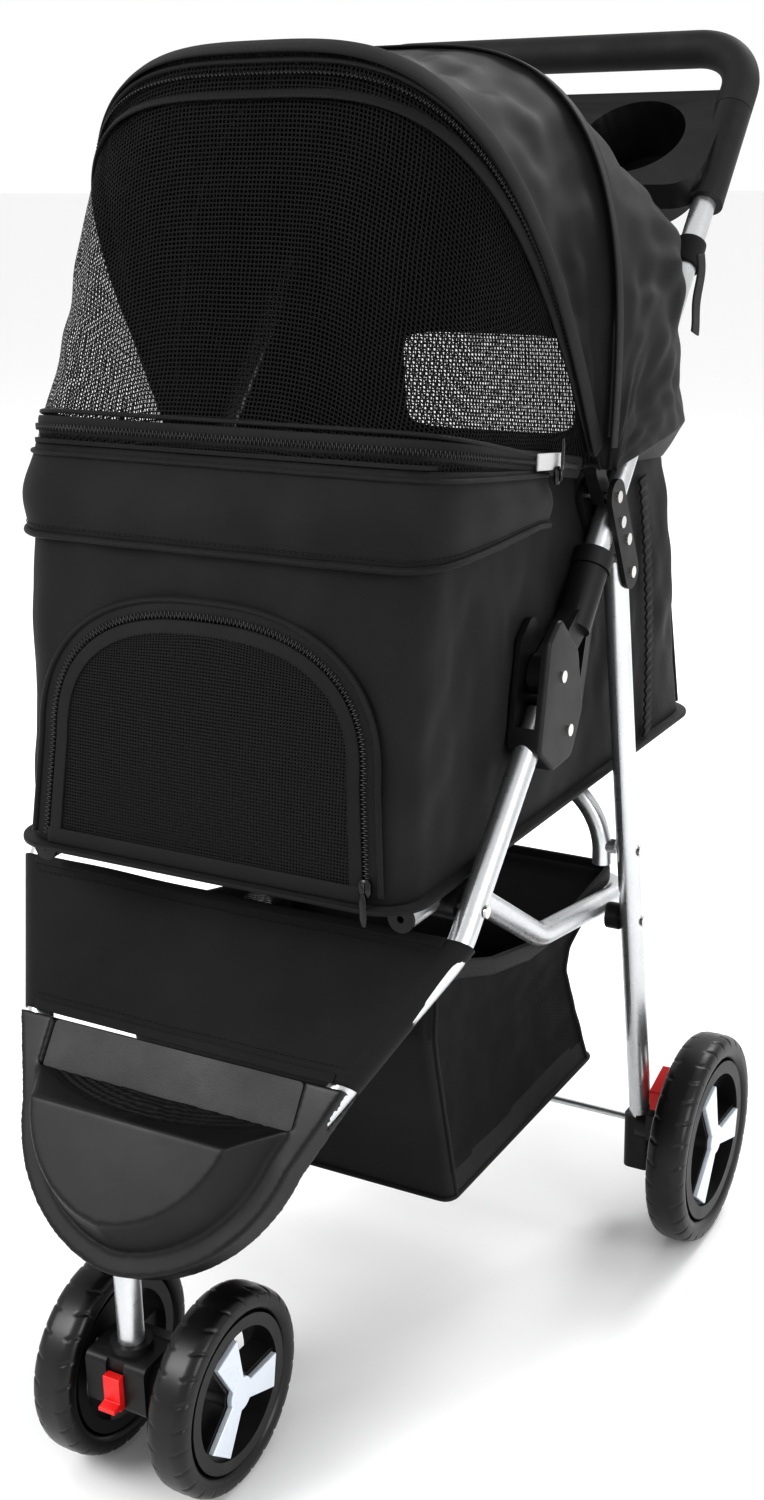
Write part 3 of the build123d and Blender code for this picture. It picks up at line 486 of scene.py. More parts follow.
def moulded(name, base, worn, rough, grain=900.0, bump=0.00012, edge=0.4, dust=0.06,
            **shader):
    """Moulded plastic, rubber or foam: grain height, uneven gloss, rubbed edges and a little dust."""
    made, tree, surface = material(name, **shader)
    place = coordinates(tree, "Object")
    skin = use(tree, GRAIN, place, Scale=grain)
    used = use(tree, WEAR, place, Edge=edge, Dust=dust)
    tone = blend_colour(tree, spread(tree, skin["Uneven"], 0.3, 0.7, 0.0, 0.35), base, worn)
    tone = blend_colour(tree, used["Rubbed"], tone, worn)
    tone = blend_colour(tree, used["Dusty"], tone, grey(0.25, 0.04))
    feed(tree, surface.inputs["Base Color"], tone)
    gloss = spread(tree, skin["Uneven"], 0.3, 0.7, rough[0], rough[1])
    dull = maths(tree, "MULTIPLY", used["Dusty"], 0.3)
    feed(tree, surface.inputs["Roughness"], maths(tree, "ADD", gloss, dull))
    bumped(tree, surface, skin["Height"], bump)
    return made


def metal(name, base, rough, streak, wear=0.25, metallic=1.0):
    """Painted or plated metal: fine streaks in the gloss, rubbed edges, faint dust."""
    made, tree, surface = material(name, Metallic=metallic)
    place = coordinates(tree, "Object")
    fine = noise(tree, place, streak, 5.0, 0.65)
    skin = use(tree, GRAIN, place, Scale=2600.0)
    used = use(tree, WEAR, place, Edge=wear, Dust=0.04)
    lighter = tuple(min(1.0, v * 1.12) for v in base[:3]) + (1.0,)
    tone = blend_colour(tree, spread(tree, skin["Uneven"], 0.3, 0.7), base, lighter)
    tone = blend_colour(tree, used["Dusty"], tone, grey(0.35, 0.03))
    feed(tree, surface.inputs["Base Color"], tone)
    feed(tree, surface.inputs["Roughness"], spread(tree, fine, 0.25, 0.75, rough[0], rough[1]))
    bumped(tree, surface, skin["Height"], 0.00003, 0.4)
    return made


BLACK_CLOTH = fabric("polyester_black", grey(0.0038), grey(0.0115))
PAD_CLOTH = fabric("pad_quilting", grey(0.008), grey(0.016), pitch=0.0012)
BINDING = fabric("binding_tape", grey(0.004), grey(0.010), pitch=0.0007, rough=(0.42, 0.58))
PALE_TAPE = fabric("pale_tape", grey(0.42), grey(0.6), pitch=0.0008)
NETTING = netting("window_net", 0.0030, 0.36, grey(0.004))
DOOR_NETTING = netting("door_net", 0.0024, 0.56, grey(0.007))
GUSSET = netting("gusset_net", 0.0022, 0.66, grey(0.006))
FINISH = {
    "silver_tube": metal("satin_silver", (0.60, 0.61, 0.62, 1), (0.24, 0.38), 260.0, metallic=0.9),
    "tyre": moulded("tyre_rubber", grey(0.006), grey(0.014), (0.26, 0.38), 1500.0, 0.00006, 0.2, 0.02),
    "rim_black": moulded("rim_plastic", grey(0.006), grey(0.02), (0.32, 0.45), 1400.0, 0.00006),
    "spoke_silver": moulded("spoke_paint", (0.60, 0.64, 0.70, 1), (0.70, 0.73, 0.77, 1),
                            (0.24, 0.34), 1800.0, 0.00003, 0.2, 0.03, Metallic=0.15, Coat_Weight=0.4),
    "rivet_steel": metal("rivet_steel", (0.62, 0.61, 0.60, 1), (0.18, 0.34), 700.0),
    "red_plastic": moulded("red_plastic", (0.62, 0.010, 0.012, 1), (0.75, 0.05, 0.04, 1),
                           (0.28, 0.4), 1400.0, 0.00005),
    "foam_grip": moulded("grip_foam", grey(0.007), grey(0.015), (0.62, 0.8), 750.0, 0.0004, 0.1, 0.04),
    "deck_grey": moulded("deck_plastic", grey(0.013), grey(0.024), (0.42, 0.55), 700.0, 0.00025),
    "hoop_rod": moulded("rod_plastic", grey(0.012), grey(0.03), (0.4, 0.5)),
    "moulded_black": moulded("moulded_black", grey(0.005), grey(0.016), (0.34, 0.48), 1100.0,
                             0.00009, dust=0.03, Specular_IOR_Level=0.4),
    "zip_coil": moulded("zip_nylon", grey(0.018), grey(0.05), (0.28, 0.4), 2000.0, 0.00003),
    "zip_metal": metal("zip_metal", (0.05, 0.05, 0.052, 1), (0.2, 0.35), 900.0),
    "mesh_black": NETTING, "fabric_black": BLACK_CLOTH, "pad_fabric": PAD_CLOTH,
    "piping_black": BINDING, "web_tape": PALE_TAPE,
}


# ---- what every soft piece does ---------------------------------------------------
def soft(obj, body="front_frame"):
    """Rides on a body, with a mesh of its own."""
    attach(obj, body)
    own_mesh(obj)
    return obj


def piping(name, path, radius, up, body="front_frame", closed=False):
    """Round bound piping along a path."""
    return soft(sweep(name, path, round_section(radius), up, "piping_black", closed), body)


def binding(name, path, width, thickness, up, body="front_frame", closed=False):
    """Flat binding tape along a path."""
    section = tape_section(width, thickness)
    return soft(sweep(name, path, section, up, "piping_black", closed), body)


def strip(name, path, width, thickness, up, slot="fabric_black"):
    """Flat strip of cloth or webbing along a path."""
    return soft(sweep(name, path, tape_section(width, thickness), up, slot))


# ---- cabin ------------------------------------------------------------------------
def rounded_plan(half, front, rear, corner, count):
    """Rounded rectangle in plan, evenly spaced, as (X, Y), from the middle of the rear."""
    quarter = np.linspace(0, math.pi / 2, 14)
    runs = [np.array([[0.0, rear]])]
    for turn, (x, y) in enumerate(((half, rear), (half, front), (-half, front), (-half, rear))):
        angle = math.pi / 2 - turn * math.pi / 2 - quarter
        centre = np.array([x - math.copysign(corner, x), y - corner if y == rear else y + corner])
        runs.append(centre + corner * np.stack([np.cos(angle), np.sin(angle)], axis=1))
    runs.append(np.array([[0.0, rear]]))
    path = np.concatenate(runs)
    path = np.concatenate([path, np.zeros((len(path), 1))], axis=1)
    return even(path, count + 1)[:-1, :2]


def cabin_place(x, share, height):
    """A point of the cabin wall: Y between the front and rear lines, Z from floor to sloping rim."""
    top = np.interp(share, *CABIN_TOP)
    z = CABIN_FLOOR + height * (top - CABIN_FLOOR)
    front = np.interp(z, *CABIN_FRONT)
    rear = np.interp(z, *CABIN_REAR)
    return np.stack(np.broadcast_arrays(x, front + share * (rear - front), z), axis=-1)


def cabin_grid(count, heights, lift=0.0):
    """Cabin wall: the rounded plan from floor to rim, billowed between its seams and creased."""
    depth = CABIN_HIGH[1] - CABIN_LOW[1]
    plan = rounded_plan(CABIN_HALF + lift, -lift, depth + lift, CABIN_CORNER + lift, count)
    share = plan[:, 1] / depth
    normal = unit(np.stack([np.roll(plan, -1, 0)[:, 1] - np.roll(plan, 1, 0)[:, 1],
                            np.roll(plan, 1, 0)[:, 0] - np.roll(plan, -1, 0)[:, 0]], axis=1))
    if (normal * (plan - [0, depth / 2])).sum() < 0:
        normal = -normal
    h = np.asarray(heights)[:, None]
    grid = cabin_place(plan[None, :, 0], share[None, :], h)
    around = arc_places(np.concatenate([plan, np.zeros((len(plan), 1))], axis=1))[None, :]
    side = np.abs(normal[:, 0])[None, :]
    panel = np.where(side > 0.7, np.sin(math.pi * np.clip(share, 0, 1)),
                     np.cos(math.pi / 2 * np.clip(plan[:, 0] / CABIN_HALF, -1, 1))[None, :])
    pinned = np.sin(math.pi * np.clip(h, 0, 1)) ** 0.6
    front = (normal[:, 1] < -0.7)[None, :]
    swell = np.where(front, 0.003, 0.007) * np.clip(panel, 0, 1) * pinned
    crease = (0.0034 * folds(around, h * 0.12, 11, 0.06, 0.24)
              + 0.0011 * folds(around, h * 0.26, 12, 0.03, 0.08))
    push = swell + crease * pinned * np.where(front, 0.5, 1.0)
    grid[..., 0] += push * normal[None, :, 0]
    grid[..., 1] += push * normal[None, :, 1]
    return grid


def door_half(height):
    """Half-width of the doorway at a distance up the front face: leaning jambs, then a squared arch."""
    rise = np.clip((height - DOOR_SHOULDER) / (DOOR_TOP - DOOR_SHOULDER), 0, 1)
    arch = DOOR_SHOULDER_HALF * (1 - rise ** DOOR_SQUARE) ** (1 / DOOR_SQUARE)
    jamb = np.interp(height, (DOOR_SILL, DOOR_SHOULDER), (DOOR_HALF, DOOR_SHOULDER_HALF))
    return np.where(height < DOOR_SHOULDER, jamb, arch)


FRONT_RISE, FRONT_RUN = (line[1] - line[0] for line in CABIN_FRONT)
FRONT_LEAN = math.atan2(FRONT_RISE, FRONT_RUN)
FRONT_OUT = np.array([0.0, -math.sin(FRONT_LEAN), math.cos(FRONT_LEAN)])
FRONT_LENGTH = 0.285  # of the crown, up the front face


def on_front(x, height, lift=0.0):
    """A point of the leaning front face, lift above it; the face is crowned 3 mm between its seams."""
    crown = 0.003 * np.cos(math.pi / 2 * np.clip(x / CABIN_HALF, -1, 1))
    crown = crown * np.sin(math.pi * np.clip(height / FRONT_LENGTH, 0, 1)) ** 0.6
    out = crown + lift
    y = CABIN_LOW[1] + height * math.cos(FRONT_LEAN) + FRONT_OUT[1] * out
    z = CABIN_FLOOR + height * math.sin(FRONT_LEAN) + FRONT_OUT[2] * out
    return np.stack(np.broadcast_arrays(x, y, z), axis=-1)


def door_path(inset, lift, count=260):
    """The doorway's outline, jamb, arch and jamb, moved inwards along its normals."""
    c, rise = superellipse(np.linspace(math.pi, 0, 200), DOOR_SQUARE)
    up = DOOR_SHOULDER + (DOOR_TOP - DOOR_SHOULDER) * rise
    arch = np.stack([DOOR_SHOULDER_HALF * c, up, 0 * c], axis=1)
    feet = np.array([[-DOOR_HALF, DOOR_SILL, 0.0], [DOOR_HALF, DOOR_SILL, 0.0]])
    flat = even(np.concatenate([feet[:1], arch, feet[1:]]), 400)
    heading = unit(np.gradient(flat, axis=0))
    flat = flat + inset * np.stack([heading[:, 1], -heading[:, 0], 0 * heading[:, 0]], axis=1)
    return even(on_front(flat[:, 0], flat[:, 1], lift), count)


def make_cabin():
    """Cabin wall with its doorway and a sagging floor in one sheet."""
    heights = np.linspace(0, 1, 62)
    wall = cabin_grid(CABIN_COLUMNS, heights)
    rim = wall[:1]
    shares = np.array([0.02, 0.25, 0.5, 0.7, 0.85, 0.95])[:, None, None]
    middle = rim.mean(axis=1, keepdims=True)
    floor = middle + (rim - middle) * shares
    floor[..., 2] -= 0.004 * (1 - shares[..., 0] ** 2)
    grid = np.concatenate([floor, wall])
    cell = (grid[:-1] + np.roll(grid, -1, 1)[:-1] + grid[1:] + np.roll(grid, -1, 1)[1:]) / 4
    up = (cell[..., 2] - CABIN_FLOOR) / math.sin(FRONT_LEAN)
    front = cell[..., 1] < np.interp(cell[..., 2], *CABIN_FRONT) + 0.02
    hole = front & (up > DOOR_SILL) & (up < DOOR_TOP) & (np.abs(cell[..., 0]) < door_half(up))
    obj = soft(cloth("cabin_cloth", grid, "fabric_black", CABIN_CENTRE, wrap=True, keep=~hole))
    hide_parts("cabin_shell")
    sewn = make_cabin_trim() + [make_rim(wall[-1])] + make_door()


def make_rim(rim):
    """Strip from the cabin's rim to the canopy's wider foot: each rim point moved out by the gap."""
    gap = np.interp(rim[:, 1], (-0.16, -0.10, 0.03, 0.05, 0.20, 0.235),
                    (0.0, 0.013, 0.015, 0.026, 0.012, 0.0))
    share = np.linspace(-0.08, 1, 6)[:, None]
    beside = np.clip((np.abs(rim[:, 0]) - 0.12) / 0.03, 0, 1)
    x = rim[:, 0] + share * gap * np.sign(rim[:, 0]) * beside
    z = rim[:, 2] + 0.001 + 0.003 * np.clip(share, 0, 1)
    grid = np.stack(np.broadcast_arrays(x, rim[:, 1], z), axis=-1)
    below = CABIN_CENTRE - np.array([0, 0, 0.3])
    return soft(cloth("cabin_rim", grid, "fabric_black", below, wrap=True))


def make_door():
    """Net door, crowned 4 mm, with its bound edge; returns the zip and tapes sewn to the cabin."""
    up = np.linspace(DOOR_SILL + 0.001, DOOR_TOP - 0.0015, 60)[:, None]
    across = np.linspace(-1, 1, 81)[None, :]
    x = across * (door_half(up) - 0.001)
    crown = 0.004 * (1 - across ** 2) * np.sin(math.pi * up / 0.19)
    grid = on_front(x, up * np.ones_like(x), crown + 0.0008)
    net = cloth("door_net", grid, "mesh_black", CABIN_CENTRE, DOOR_NETTING, thickness=0)
    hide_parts("front_door")
    soft(net, "front_door")
    edge = binding("door_binding", door_path(0.006, 0.0016), 0.010, 0.0022, FRONT_OUT, "front_door")
    sill = on_front(np.linspace(-DOOR_HALF, DOOR_HALF, 60), np.full(60, DOOR_SILL), 0.002)
    foot = binding("door_sill_tape", sill, 0.012, 0.002, FRONT_OUT)
    sewn = soft(stitches("door_stitches", door_path(0.0105, 0.0024), FRONT_OUT), "front_door")
    chain = door_path(-0.002, 0.0022, 420)
    coil = soft(zip_chain("door_zip", chain, FRONT_OUT))
    tape = binding("door_zip_tape", door_path(-0.006, 0.0012), 0.011, 0.0012, FRONT_OUT)
    hem = piping("door_hem", door_path(-0.0125, 0.002), 0.0021, FRONT_OUT)
    slider = soft(zip_slider("door_slider", chain[-6], chain[-1] - chain[-12], FRONT_OUT))
    return [coil, tape, hem, slider, foot]


def zip_slider(name, place, along, up, pull=0.022):
    """Zip slider: a wedge body with a bridge, and a flat pull that hangs from it."""
    along, up = unit(np.asarray(along, float)), unit(np.asarray(up, float))
    side = np.cross(along, up)
    shapes = []
    for centre, size in (((0, 0.0022, 0), (0.0048, 0.0021, 0.0062)),
                         ((0, 0.0048, 0), (0.0012, 0.0012, 0.0040)),
                         ((0, 0.0056, -0.0035 - pull / 2), (0.0026, 0.0008, pull / 2))):
        local = CAPSULE * np.asarray(size) + np.asarray(centre)
        shapes.append(place + local[:, :1] * side + local[:, 1:2] * up - local[:, 2:] * along)
    obj = put(name, np.concatenate(shapes), capsule_faces(len(shapes)), "zip_metal")
    recalculate(obj)
    bevel = obj.modifiers.new("round", "BEVEL")
    bevel.width = 0.0003
    bevel.segments = 2
    return obj


# ---- canopy -----------------------------------------------------------------------
def canopy_reach(tilt):
    """Distance from the pivot to the side outline at a tilt, its corners eased over 5 degrees."""
    outline = np.array(CANOPY_OUTLINE)
    dense = np.concatenate([np.linspace(a, b, 60) for a, b in zip(outline[:-1], outline[1:])])
    angle = np.degrees(np.arctan2(dense[:, 1] - PIVOT[1], dense[:, 0] - PIVOT[0]))
    reach = np.hypot(dense[:, 0] - PIVOT[0], dense[:, 1] - PIVOT[1])
    order = np.argsort(angle)
    offsets = np.linspace(-5, 5, 11)
    weights = np.exp(-(offsets / 3.0) ** 2)
    eased = [w * np.interp(np.clip(tilt + o, REAR_TILT, NOSE_TILT), angle[order], reach[order])
             for o, w in zip(offsets, weights)]
    return np.sum(eased, axis=0) / weights.sum()


def canopy_grid(tilts, columns, lift=0.0, creased=1.0):
    """Canopy: at each tilt a squared arch, slack between the hoops and creased towards the pivot."""
    tilts = np.asarray(tilts, float)
    rows = []
    angle = np.linspace(0, math.pi, 500)
    for tilt in tilts:
        half = np.interp(tilt, TILTS, CANOPY_HALF)
        c, s = superellipse(angle, np.interp(tilt, TILTS, CANOPY_SQUARE))
        arch = np.stack([half * c, canopy_reach(tilt) * s, np.zeros_like(c)], axis=1)
        rows.append(even(arch, columns)[:, :2])
    arches = np.array(rows)
    x, r = arches[..., 0], arches[..., 1]
    t = tilts[:, None]
    share = np.linspace(0, 1, columns)[None, :]
    stops = np.array([REAR_TILT, MID_TILT, FRONT_TILT, NOSE_TILT])
    low = stops[np.clip(np.searchsorted(stops, t, side="right") - 1, 0, 2)]
    high = stops[np.clip(np.searchsorted(stops, t, side="right"), 1, 3)]
    between = np.sin(math.pi * np.clip((t - low) / (high - low), 0, 1))
    bay = np.sin(math.pi * share) ** 0.5
    slack = -0.006 * between * bay
    slack = slack + 0.0030 * (bell(t, FRONT_TILT, 1.3) + bell(t, MID_TILT, 1.3))
    radial = 0.0032 * folds(share * 0.9, np.radians(t) * 0.09, 21, 0.05, 0.2)
    cross = 0.0020 * folds(share * 0.9, np.radians(t) * 0.28, 22, 0.03, 0.09)
    push = slack + lift + creased * between * bay * (radial + cross)
    x = x * (1 + push / 0.19)
    r = r + np.where(r > 0.02, push, 0.0)
    a = np.radians(t)
    return np.stack([x, PIVOT[0] + r * np.cos(a), PIVOT[1] + r * np.sin(a)], axis=-1)


def canopy_line(tilt, lift, start=0.0, end=1.0, columns=420):
    """One arch of the canopy, between two shares of its length."""
    grid = canopy_grid([tilt], columns, lift, 0.0)[0]
    return even(grid[int(start * (columns - 1)):int(end * (columns - 1)) + 1], columns)


def outward(path, centre=CANOPY_CENTRE):
    """Guide vectors that point away from the canopy's middle."""
    return unit(path - np.asarray(centre))


def rear_window_mask(cell, tilt):
    """True inside the rounded rear window, measured in X and in tilt."""
    x = cell[..., 0] / REAR_WINDOW_HALF
    y = (tilt - REAR_WINDOW_TILT) / REAR_WINDOW_SWING
    return np.abs(x) ** REAR_WINDOW_SQUARE + np.abs(y) ** REAR_WINDOW_SQUARE < 1


def make_canopy():
    """Canopy cloth from the rear edge to the front hoop, with an opening for its rear window."""
    tilts = np.linspace(REAR_TILT, FRONT_TILT, 132)
    grid = canopy_grid(tilts, 241)
    cell = (grid[:-1, :-1] + grid[1:, 1:]) / 2
    middle = (tilts[:-1] + tilts[1:])[:, None] / 2
    hole = rear_window_mask(cell, middle)
    hood = soft(cloth("canopy_cloth", grid, "fabric_black", CANOPY_CENTRE, keep=~hole))
    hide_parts("canopy_hood")
    angle = np.linspace(0, 2 * math.pi, 140, endpoint=False)
    c, s = superellipse(angle, REAR_WINDOW_SQUARE)
    ring = canopy_at(REAR_WINDOW_HALF * c, REAR_WINDOW_TILT + REAR_WINDOW_SWING * s, 0.0012)
    edge = binding("rear_window_binding", ring, 0.011, 0.0022, outward(ring), closed=True)
    spokes = np.linspace(0.02, 1.0, 26)[:, None]
    fill = canopy_at(spokes * REAR_WINDOW_HALF * c[None],
                     REAR_WINDOW_TILT + spokes * REAR_WINDOW_SWING * s[None], 0.0)
    net = soft(cloth("rear_net", fill, "mesh_black", CANOPY_CENTRE, wrap=True, thickness=0))
    flat_uv(net)
    [edge] + make_straps()


def flat_uv(obj):
    """Gives an upright piece a flat UV, its X and Z in metres."""
    mesh = obj.data
    corner = np.empty(len(mesh.loops), dtype=np.int32)
    mesh.loops.foreach_get("vertex_index", corner)
    place = np.empty(3 * len(mesh.vertices))
    mesh.vertices.foreach_get("co", place)
    mesh.uv_layers["cloth"].data.foreach_set("uv", place.reshape(-1, 3)[corner][:, [0, 2]].ravel())


def canopy_at(x, tilt, lift):
    """Points on the canopy at a given X and tilt: the arch solved for its reach at that X."""
    half = np.interp(tilt, TILTS, CANOPY_HALF)
    power = np.interp(tilt, TILTS, CANOPY_SQUARE)
    arch = np.maximum(1 - np.abs(x / half) ** power, 0) ** (1 / power)
    r = canopy_reach(tilt) * arch + lift - REAR_WINDOW_SINK
    a = np.radians(tilt)
    y, z = PIVOT[0] + r * np.cos(a), PIVOT[1] + r * np.sin(a)
    return np.stack(np.broadcast_arrays(x, y, z), axis=-1)


def make_window():
    """Front net window from the front hoop to the cabin's rim, with its zip, hems and rods."""
    grid = canopy_grid(np.linspace(FRONT_TILT, NOSE_TILT, 60), 241, creased=0.5)
    net = soft(cloth("window_net", grid, "mesh_black", CANOPY_CENTRE, thickness=0))
    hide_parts("front_window")
    for name, tilt, lift, width in (("window_zip_tape", NOSE_TILT - 3.0, 0.0005, 0.016),
                                    ("window_hem_high", FRONT_TILT + 4.2, 0.0008, 0.010),
                                    ("hoop_sleeve", FRONT_TILT, 0.0012, 0.016),
                                    ("mid_hoop_sleeve", MID_TILT, 0.0010, 0.016)):
        path = canopy_line(tilt, lift, 0.02, 0.98)
        section = tape_section(width, 0.0020, 20)
        section[:, 1] -= SLEEVE_CURVE * section[:, 0] ** 2
        soft(sweep(name, path, section, outward(path), "fabric_black"))
    for name, tilt in (("window_zip", NOSE_TILT - 3.0), ("hoop_zip", FRONT_TILT + 2.6)):
        chain = canopy_line(tilt, 0.0022, 0.03, 0.97, 700)
        soft(zip_chain(name, chain, outward(chain)))
    for name, tilt in (("window_hem_low", NOSE_TILT - 6.0), ("sleeve_piping_front", FRONT_TILT + 1.5),
                       ("sleeve_piping_rear", FRONT_TILT - 1.6), ("mid_piping", MID_TILT - 1.6)):
        path = canopy_line(tilt, 0.0014, 0.03, 0.97)
        piping(name, path, 0.0016, outward(path))
    for name, tilt in (("sleeve_stitches_front", FRONT_TILT + 1.0),
                       ("sleeve_stitches_rear", FRONT_TILT - 1.0), ("mid_stitches", MID_TILT + 1.2)):
        path = canopy_line(tilt, 0.0026, 0.04, 0.96)
        soft(stitches(name, path, outward(path)))
    for hoop, tilt in (("front_hoop", FRONT_TILT), ("mid_hoop", MID_TILT)):
        path = canopy_line(tilt, -0.0035, 0.03, 0.97)
        rod = soft(sweep(f"{hoop}_rod", path, round_section(ROD_R, 12), outward(path), "hoop_rod"))
        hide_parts(hoop)


def make_band():
    """Skirt of the canopy: rows from its foot down over the cabin's rim, bulged outwards."""
    start, end = 0.10, 0.90
    top = canopy_line(NOSE_TILT, 0.001, start, end, 260)
    low = top.copy()
    low[:, 0] *= 0.176 / 0.1745
    front = np.clip((-0.05 - top[:, 1]) / 0.13, 0, 1)
    low[:, 1] -= 0.014 * front
    low[:, 2] -= BAND_DROP * (0.62 + 0.38 * front)
    share = np.linspace(0, 1, 22)[:, None, None]
    grid = top[None] * (1 - share) + low[None] * share
    away = unit((top - np.array([0.0, 0.02, 0.0])) * np.array([1.0, 1.0, 0.0]))
    along = arc_places(top)[None, :]
    push = (0.006 * np.sin(math.pi * share[..., 0])
            + 0.0016 * folds(along, share[..., 0] * BAND_DROP_FOLDS, 31, 0.04, 0.14))
    grid = grid + (push * (0.3 + 0.7 * np.sin(math.pi * share[..., 0])))[..., None] * away[None]
    band = soft(cloth("canopy_band", grid, "fabric_black", CABIN_CENTRE))
    for name, row, radius in (("band_piping_low", -1, 0.0024), ("band_piping_high", 2, 0.0018)):
        path = even(grid[row], 300) + 0.001 * even(away, 300)
        piping(name, path, radius, (0, 0, 1))
    path = even(grid[-3], 300) + 0.0006 * even(away, 300)
    soft(stitches("band_stitches", path, unit((path - CABIN_CENTRE) * [1, 1, 0])))


ZIP_TAB = ((0.1775, -0.054, 0.7045), (0.1805, -0.038, 0.703), (0.1815, -0.020, 0.7005))  # on the left


def make_cabin_trim():
    """Bound piping round the cabin floor, corner seams, ruffled side seams and pale zip tabs."""
    plan = cabin_grid(CABIN_COLUMNS, [0.0, 0.02], 0.002)
    rim = even(np.concatenate([plan[0], plan[0][:1]]), 420)[:-1]
    pieces = [binding("cabin_piping", rim, 0.013, 0.0042, (0, 0, 1), closed=True)]
    heights = np.linspace(0.03, 0.97, 80)
    rise = np.linspace(0.02, 0.93, 240)
    for side, s in SIDES.items():
        path = cabin_place(np.full(80, s * (CABIN_HALF - 0.0055)), np.full(80, 0.988), heights)
        pieces.append(piping(f"rear_seam_{side}", path, 0.0016, (s, 0, 0)))
        ruffle = cabin_place(np.full(240, s * (CABIN_HALF + 0.0045)),
                             np.interp(rise, (0, 1), (0.80, 0.84)), rise)
        ruffle[:, 0] += s * 0.0007 * np.sin(rise * 190)
        ruffle[:, 0] += s * 0.004 * np.sin(math.pi * rise)
        pieces.append(strip(f"side_ruffle_{side}", ruffle, 0.013, 0.0022, (s, 0, 0)))
        tab = np.array(ZIP_TAB) * (s, 1, 1)
        pieces.append(strip(f"zip_tab_{side}", even(tab, 24), 0.012, 0.0024, (s, 0, 0), "web_tape"))
        hung_at = tab[1] + [s * 0.001, 0.004, -0.010]
        hang = zip_slider(f"window_slider_{side}", hung_at, np.array([0, 0.1, 1]), (s, 0, 0))
        pieces.append(soft(hang))
    return pieces


def make_apron():
    """Front apron: a plane between the front legs, slack in its middle, with a circle round each."""
    leg = 0.0118  # radius of the wrap
    top_x, low_x = 0.1795, 0.1283  # the legs' X at its top and its foot
    share = np.linspace(-1, 1, 150)[None, :]
    down = np.linspace(0, 1, 40)[:, None]
    flat = 0.86  # share of the width between the legs
    wrap = np.clip((np.abs(share) - flat) / (1 - flat), 0, 1) * math.pi * 0.95
    between = np.clip(share / flat, -1, 1)
    leg_x = top_x + (low_x - top_x) * down
    x = between * leg_x + np.sign(share) * leg * np.sin(wrap)
    slack = 0.007 * np.sin(math.pi * down) ** 0.7 * (1 - between ** 2) + 0.003 * (1 - between ** 2)
    slack = slack + 0.0012 * folds(x, down * 0.11, 41, 0.05, 0.16) * (1 - between ** 4)
    out = leg * np.cos(wrap) - slack
    y = -0.1795 - 0.0725 * down - 0.72 * out
    z = 0.3965 - 0.0855 * down + 0.69 * out
    grid = np.stack(np.broadcast_arrays(x, y, z), axis=-1)
    obj = soft(cloth("apron_cloth", grid, "fabric_black", (0, 0, 0.6)))
    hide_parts("apron")
    front = (0, -0.72, 0.69)
    edges = {row: even(grid[row, 12:-12], 200) + 0.0004 * np.array(front) for row in (1, -2, -5, 4)}
    trims = [binding(name, edges[row], 0.007, 0.0016, front)
             for name, row in (("apron_hem_top", 1), ("apron_hem_low", -2))]
    trims += [soft(stitches(name, edges[row], front))
              for name, row in (("apron_stitches_low", -5), ("apron_stitches_top", 4))]


def make_basket():
    """Basket: a rounded plan lofted from the floor to a sloping rim, its panels pulled in."""
    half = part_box("basket")[1][0]
    depth, corner, count = 0.27, 0.009, 260
    plan = rounded_plan(half, 0.0, depth, corner, count)
    share = (plan[:, 1] / depth)[None, :]
    h = np.linspace(0, 1, 44)[:, None]
    front_y = np.interp(h, (0, 0.75, 1), (-0.118, -0.148, -0.145))
    rear_y = np.interp(h, (0, 0.66, 0.78, 1), (0.150, 0.104, 0.110, 0.192))
    low = 0.155
    rim = np.interp(share, (0, 0.08, 0.3, 0.5, 0.72, 1), (0.352, 0.345, 0.318, 0.303, 0.300, 0.312))
    z = low + h * (rim - low)
    y = front_y + share * (rear_y - front_y)
    taper = np.interp(h, (0, 0.25, 1), (1.0, 1.0, 0.985))
    x = plan[None, :, 0] * taper
    angle = np.arctan2(share - 0.5, plan[None, :, 0] / half)
    along = np.arange(count)[None, :] * 0.0032
    panel = np.sin(math.pi * np.clip(share, 0, 1)) + np.cos(math.pi / 2 * plan[None, :, 0] / half)
    panel = np.clip(panel, 0, 1)
    push = -0.007 * np.sin(math.pi * h) * panel
    push = push + 0.0024 * folds(along, h * 0.1, 51, 0.08, 0.30) * np.sin(math.pi * h) ** 0.5
    push = push + 0.0005 * folds(along, h * 0.2, 52, 0.03, 0.07) * np.sin(math.pi * h)
    wall = np.stack([x + push * np.cos(angle), y + push * np.sin(angle), z + 0 * x], axis=-1)
    rings = np.array([0.02, 0.3, 0.55, 0.75, 0.9, 0.97])[:, None, None]
    middle = wall[:1].mean(axis=1, keepdims=True)
    floor = middle + (wall[:1] - middle) * rings
    floor[..., 2] -= 0.010 * (1 - rings[..., 0] ** 2)
    grid = np.concatenate([floor, wall])
    obj = soft(cloth("basket_cloth", grid, "fabric_black", (0, -0.02, 0.26), wrap=True))
    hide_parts("basket")
    gusset_faces(obj, half)
    top, foot = (even(np.concatenate([row, row[:1]]), 360)[:-1] for row in (wall[-1], wall[0]))
    trims = [binding("basket_rim", top, 0.005, 0.014, (0, 0, 1), closed=True),
             piping("basket_seam", foot, 0.0022, (0, 0, 1), closed=True)]
    for side, s in SIDES.items():
        for name, place in (("front", 0.04), ("rear", 0.96)):
            away = np.abs(plan[:, 0] - s * half * 0.97) + np.abs(share[0] - place)
            path = even(wall[:, int(np.argmin(away))], 90)
            trims.append(piping(f"basket_{name}_seam_{side}", path, 0.0018, (s, 0, 0)))


GUSSET_LOW, GUSSET_HIGH = 0.178, 0.33


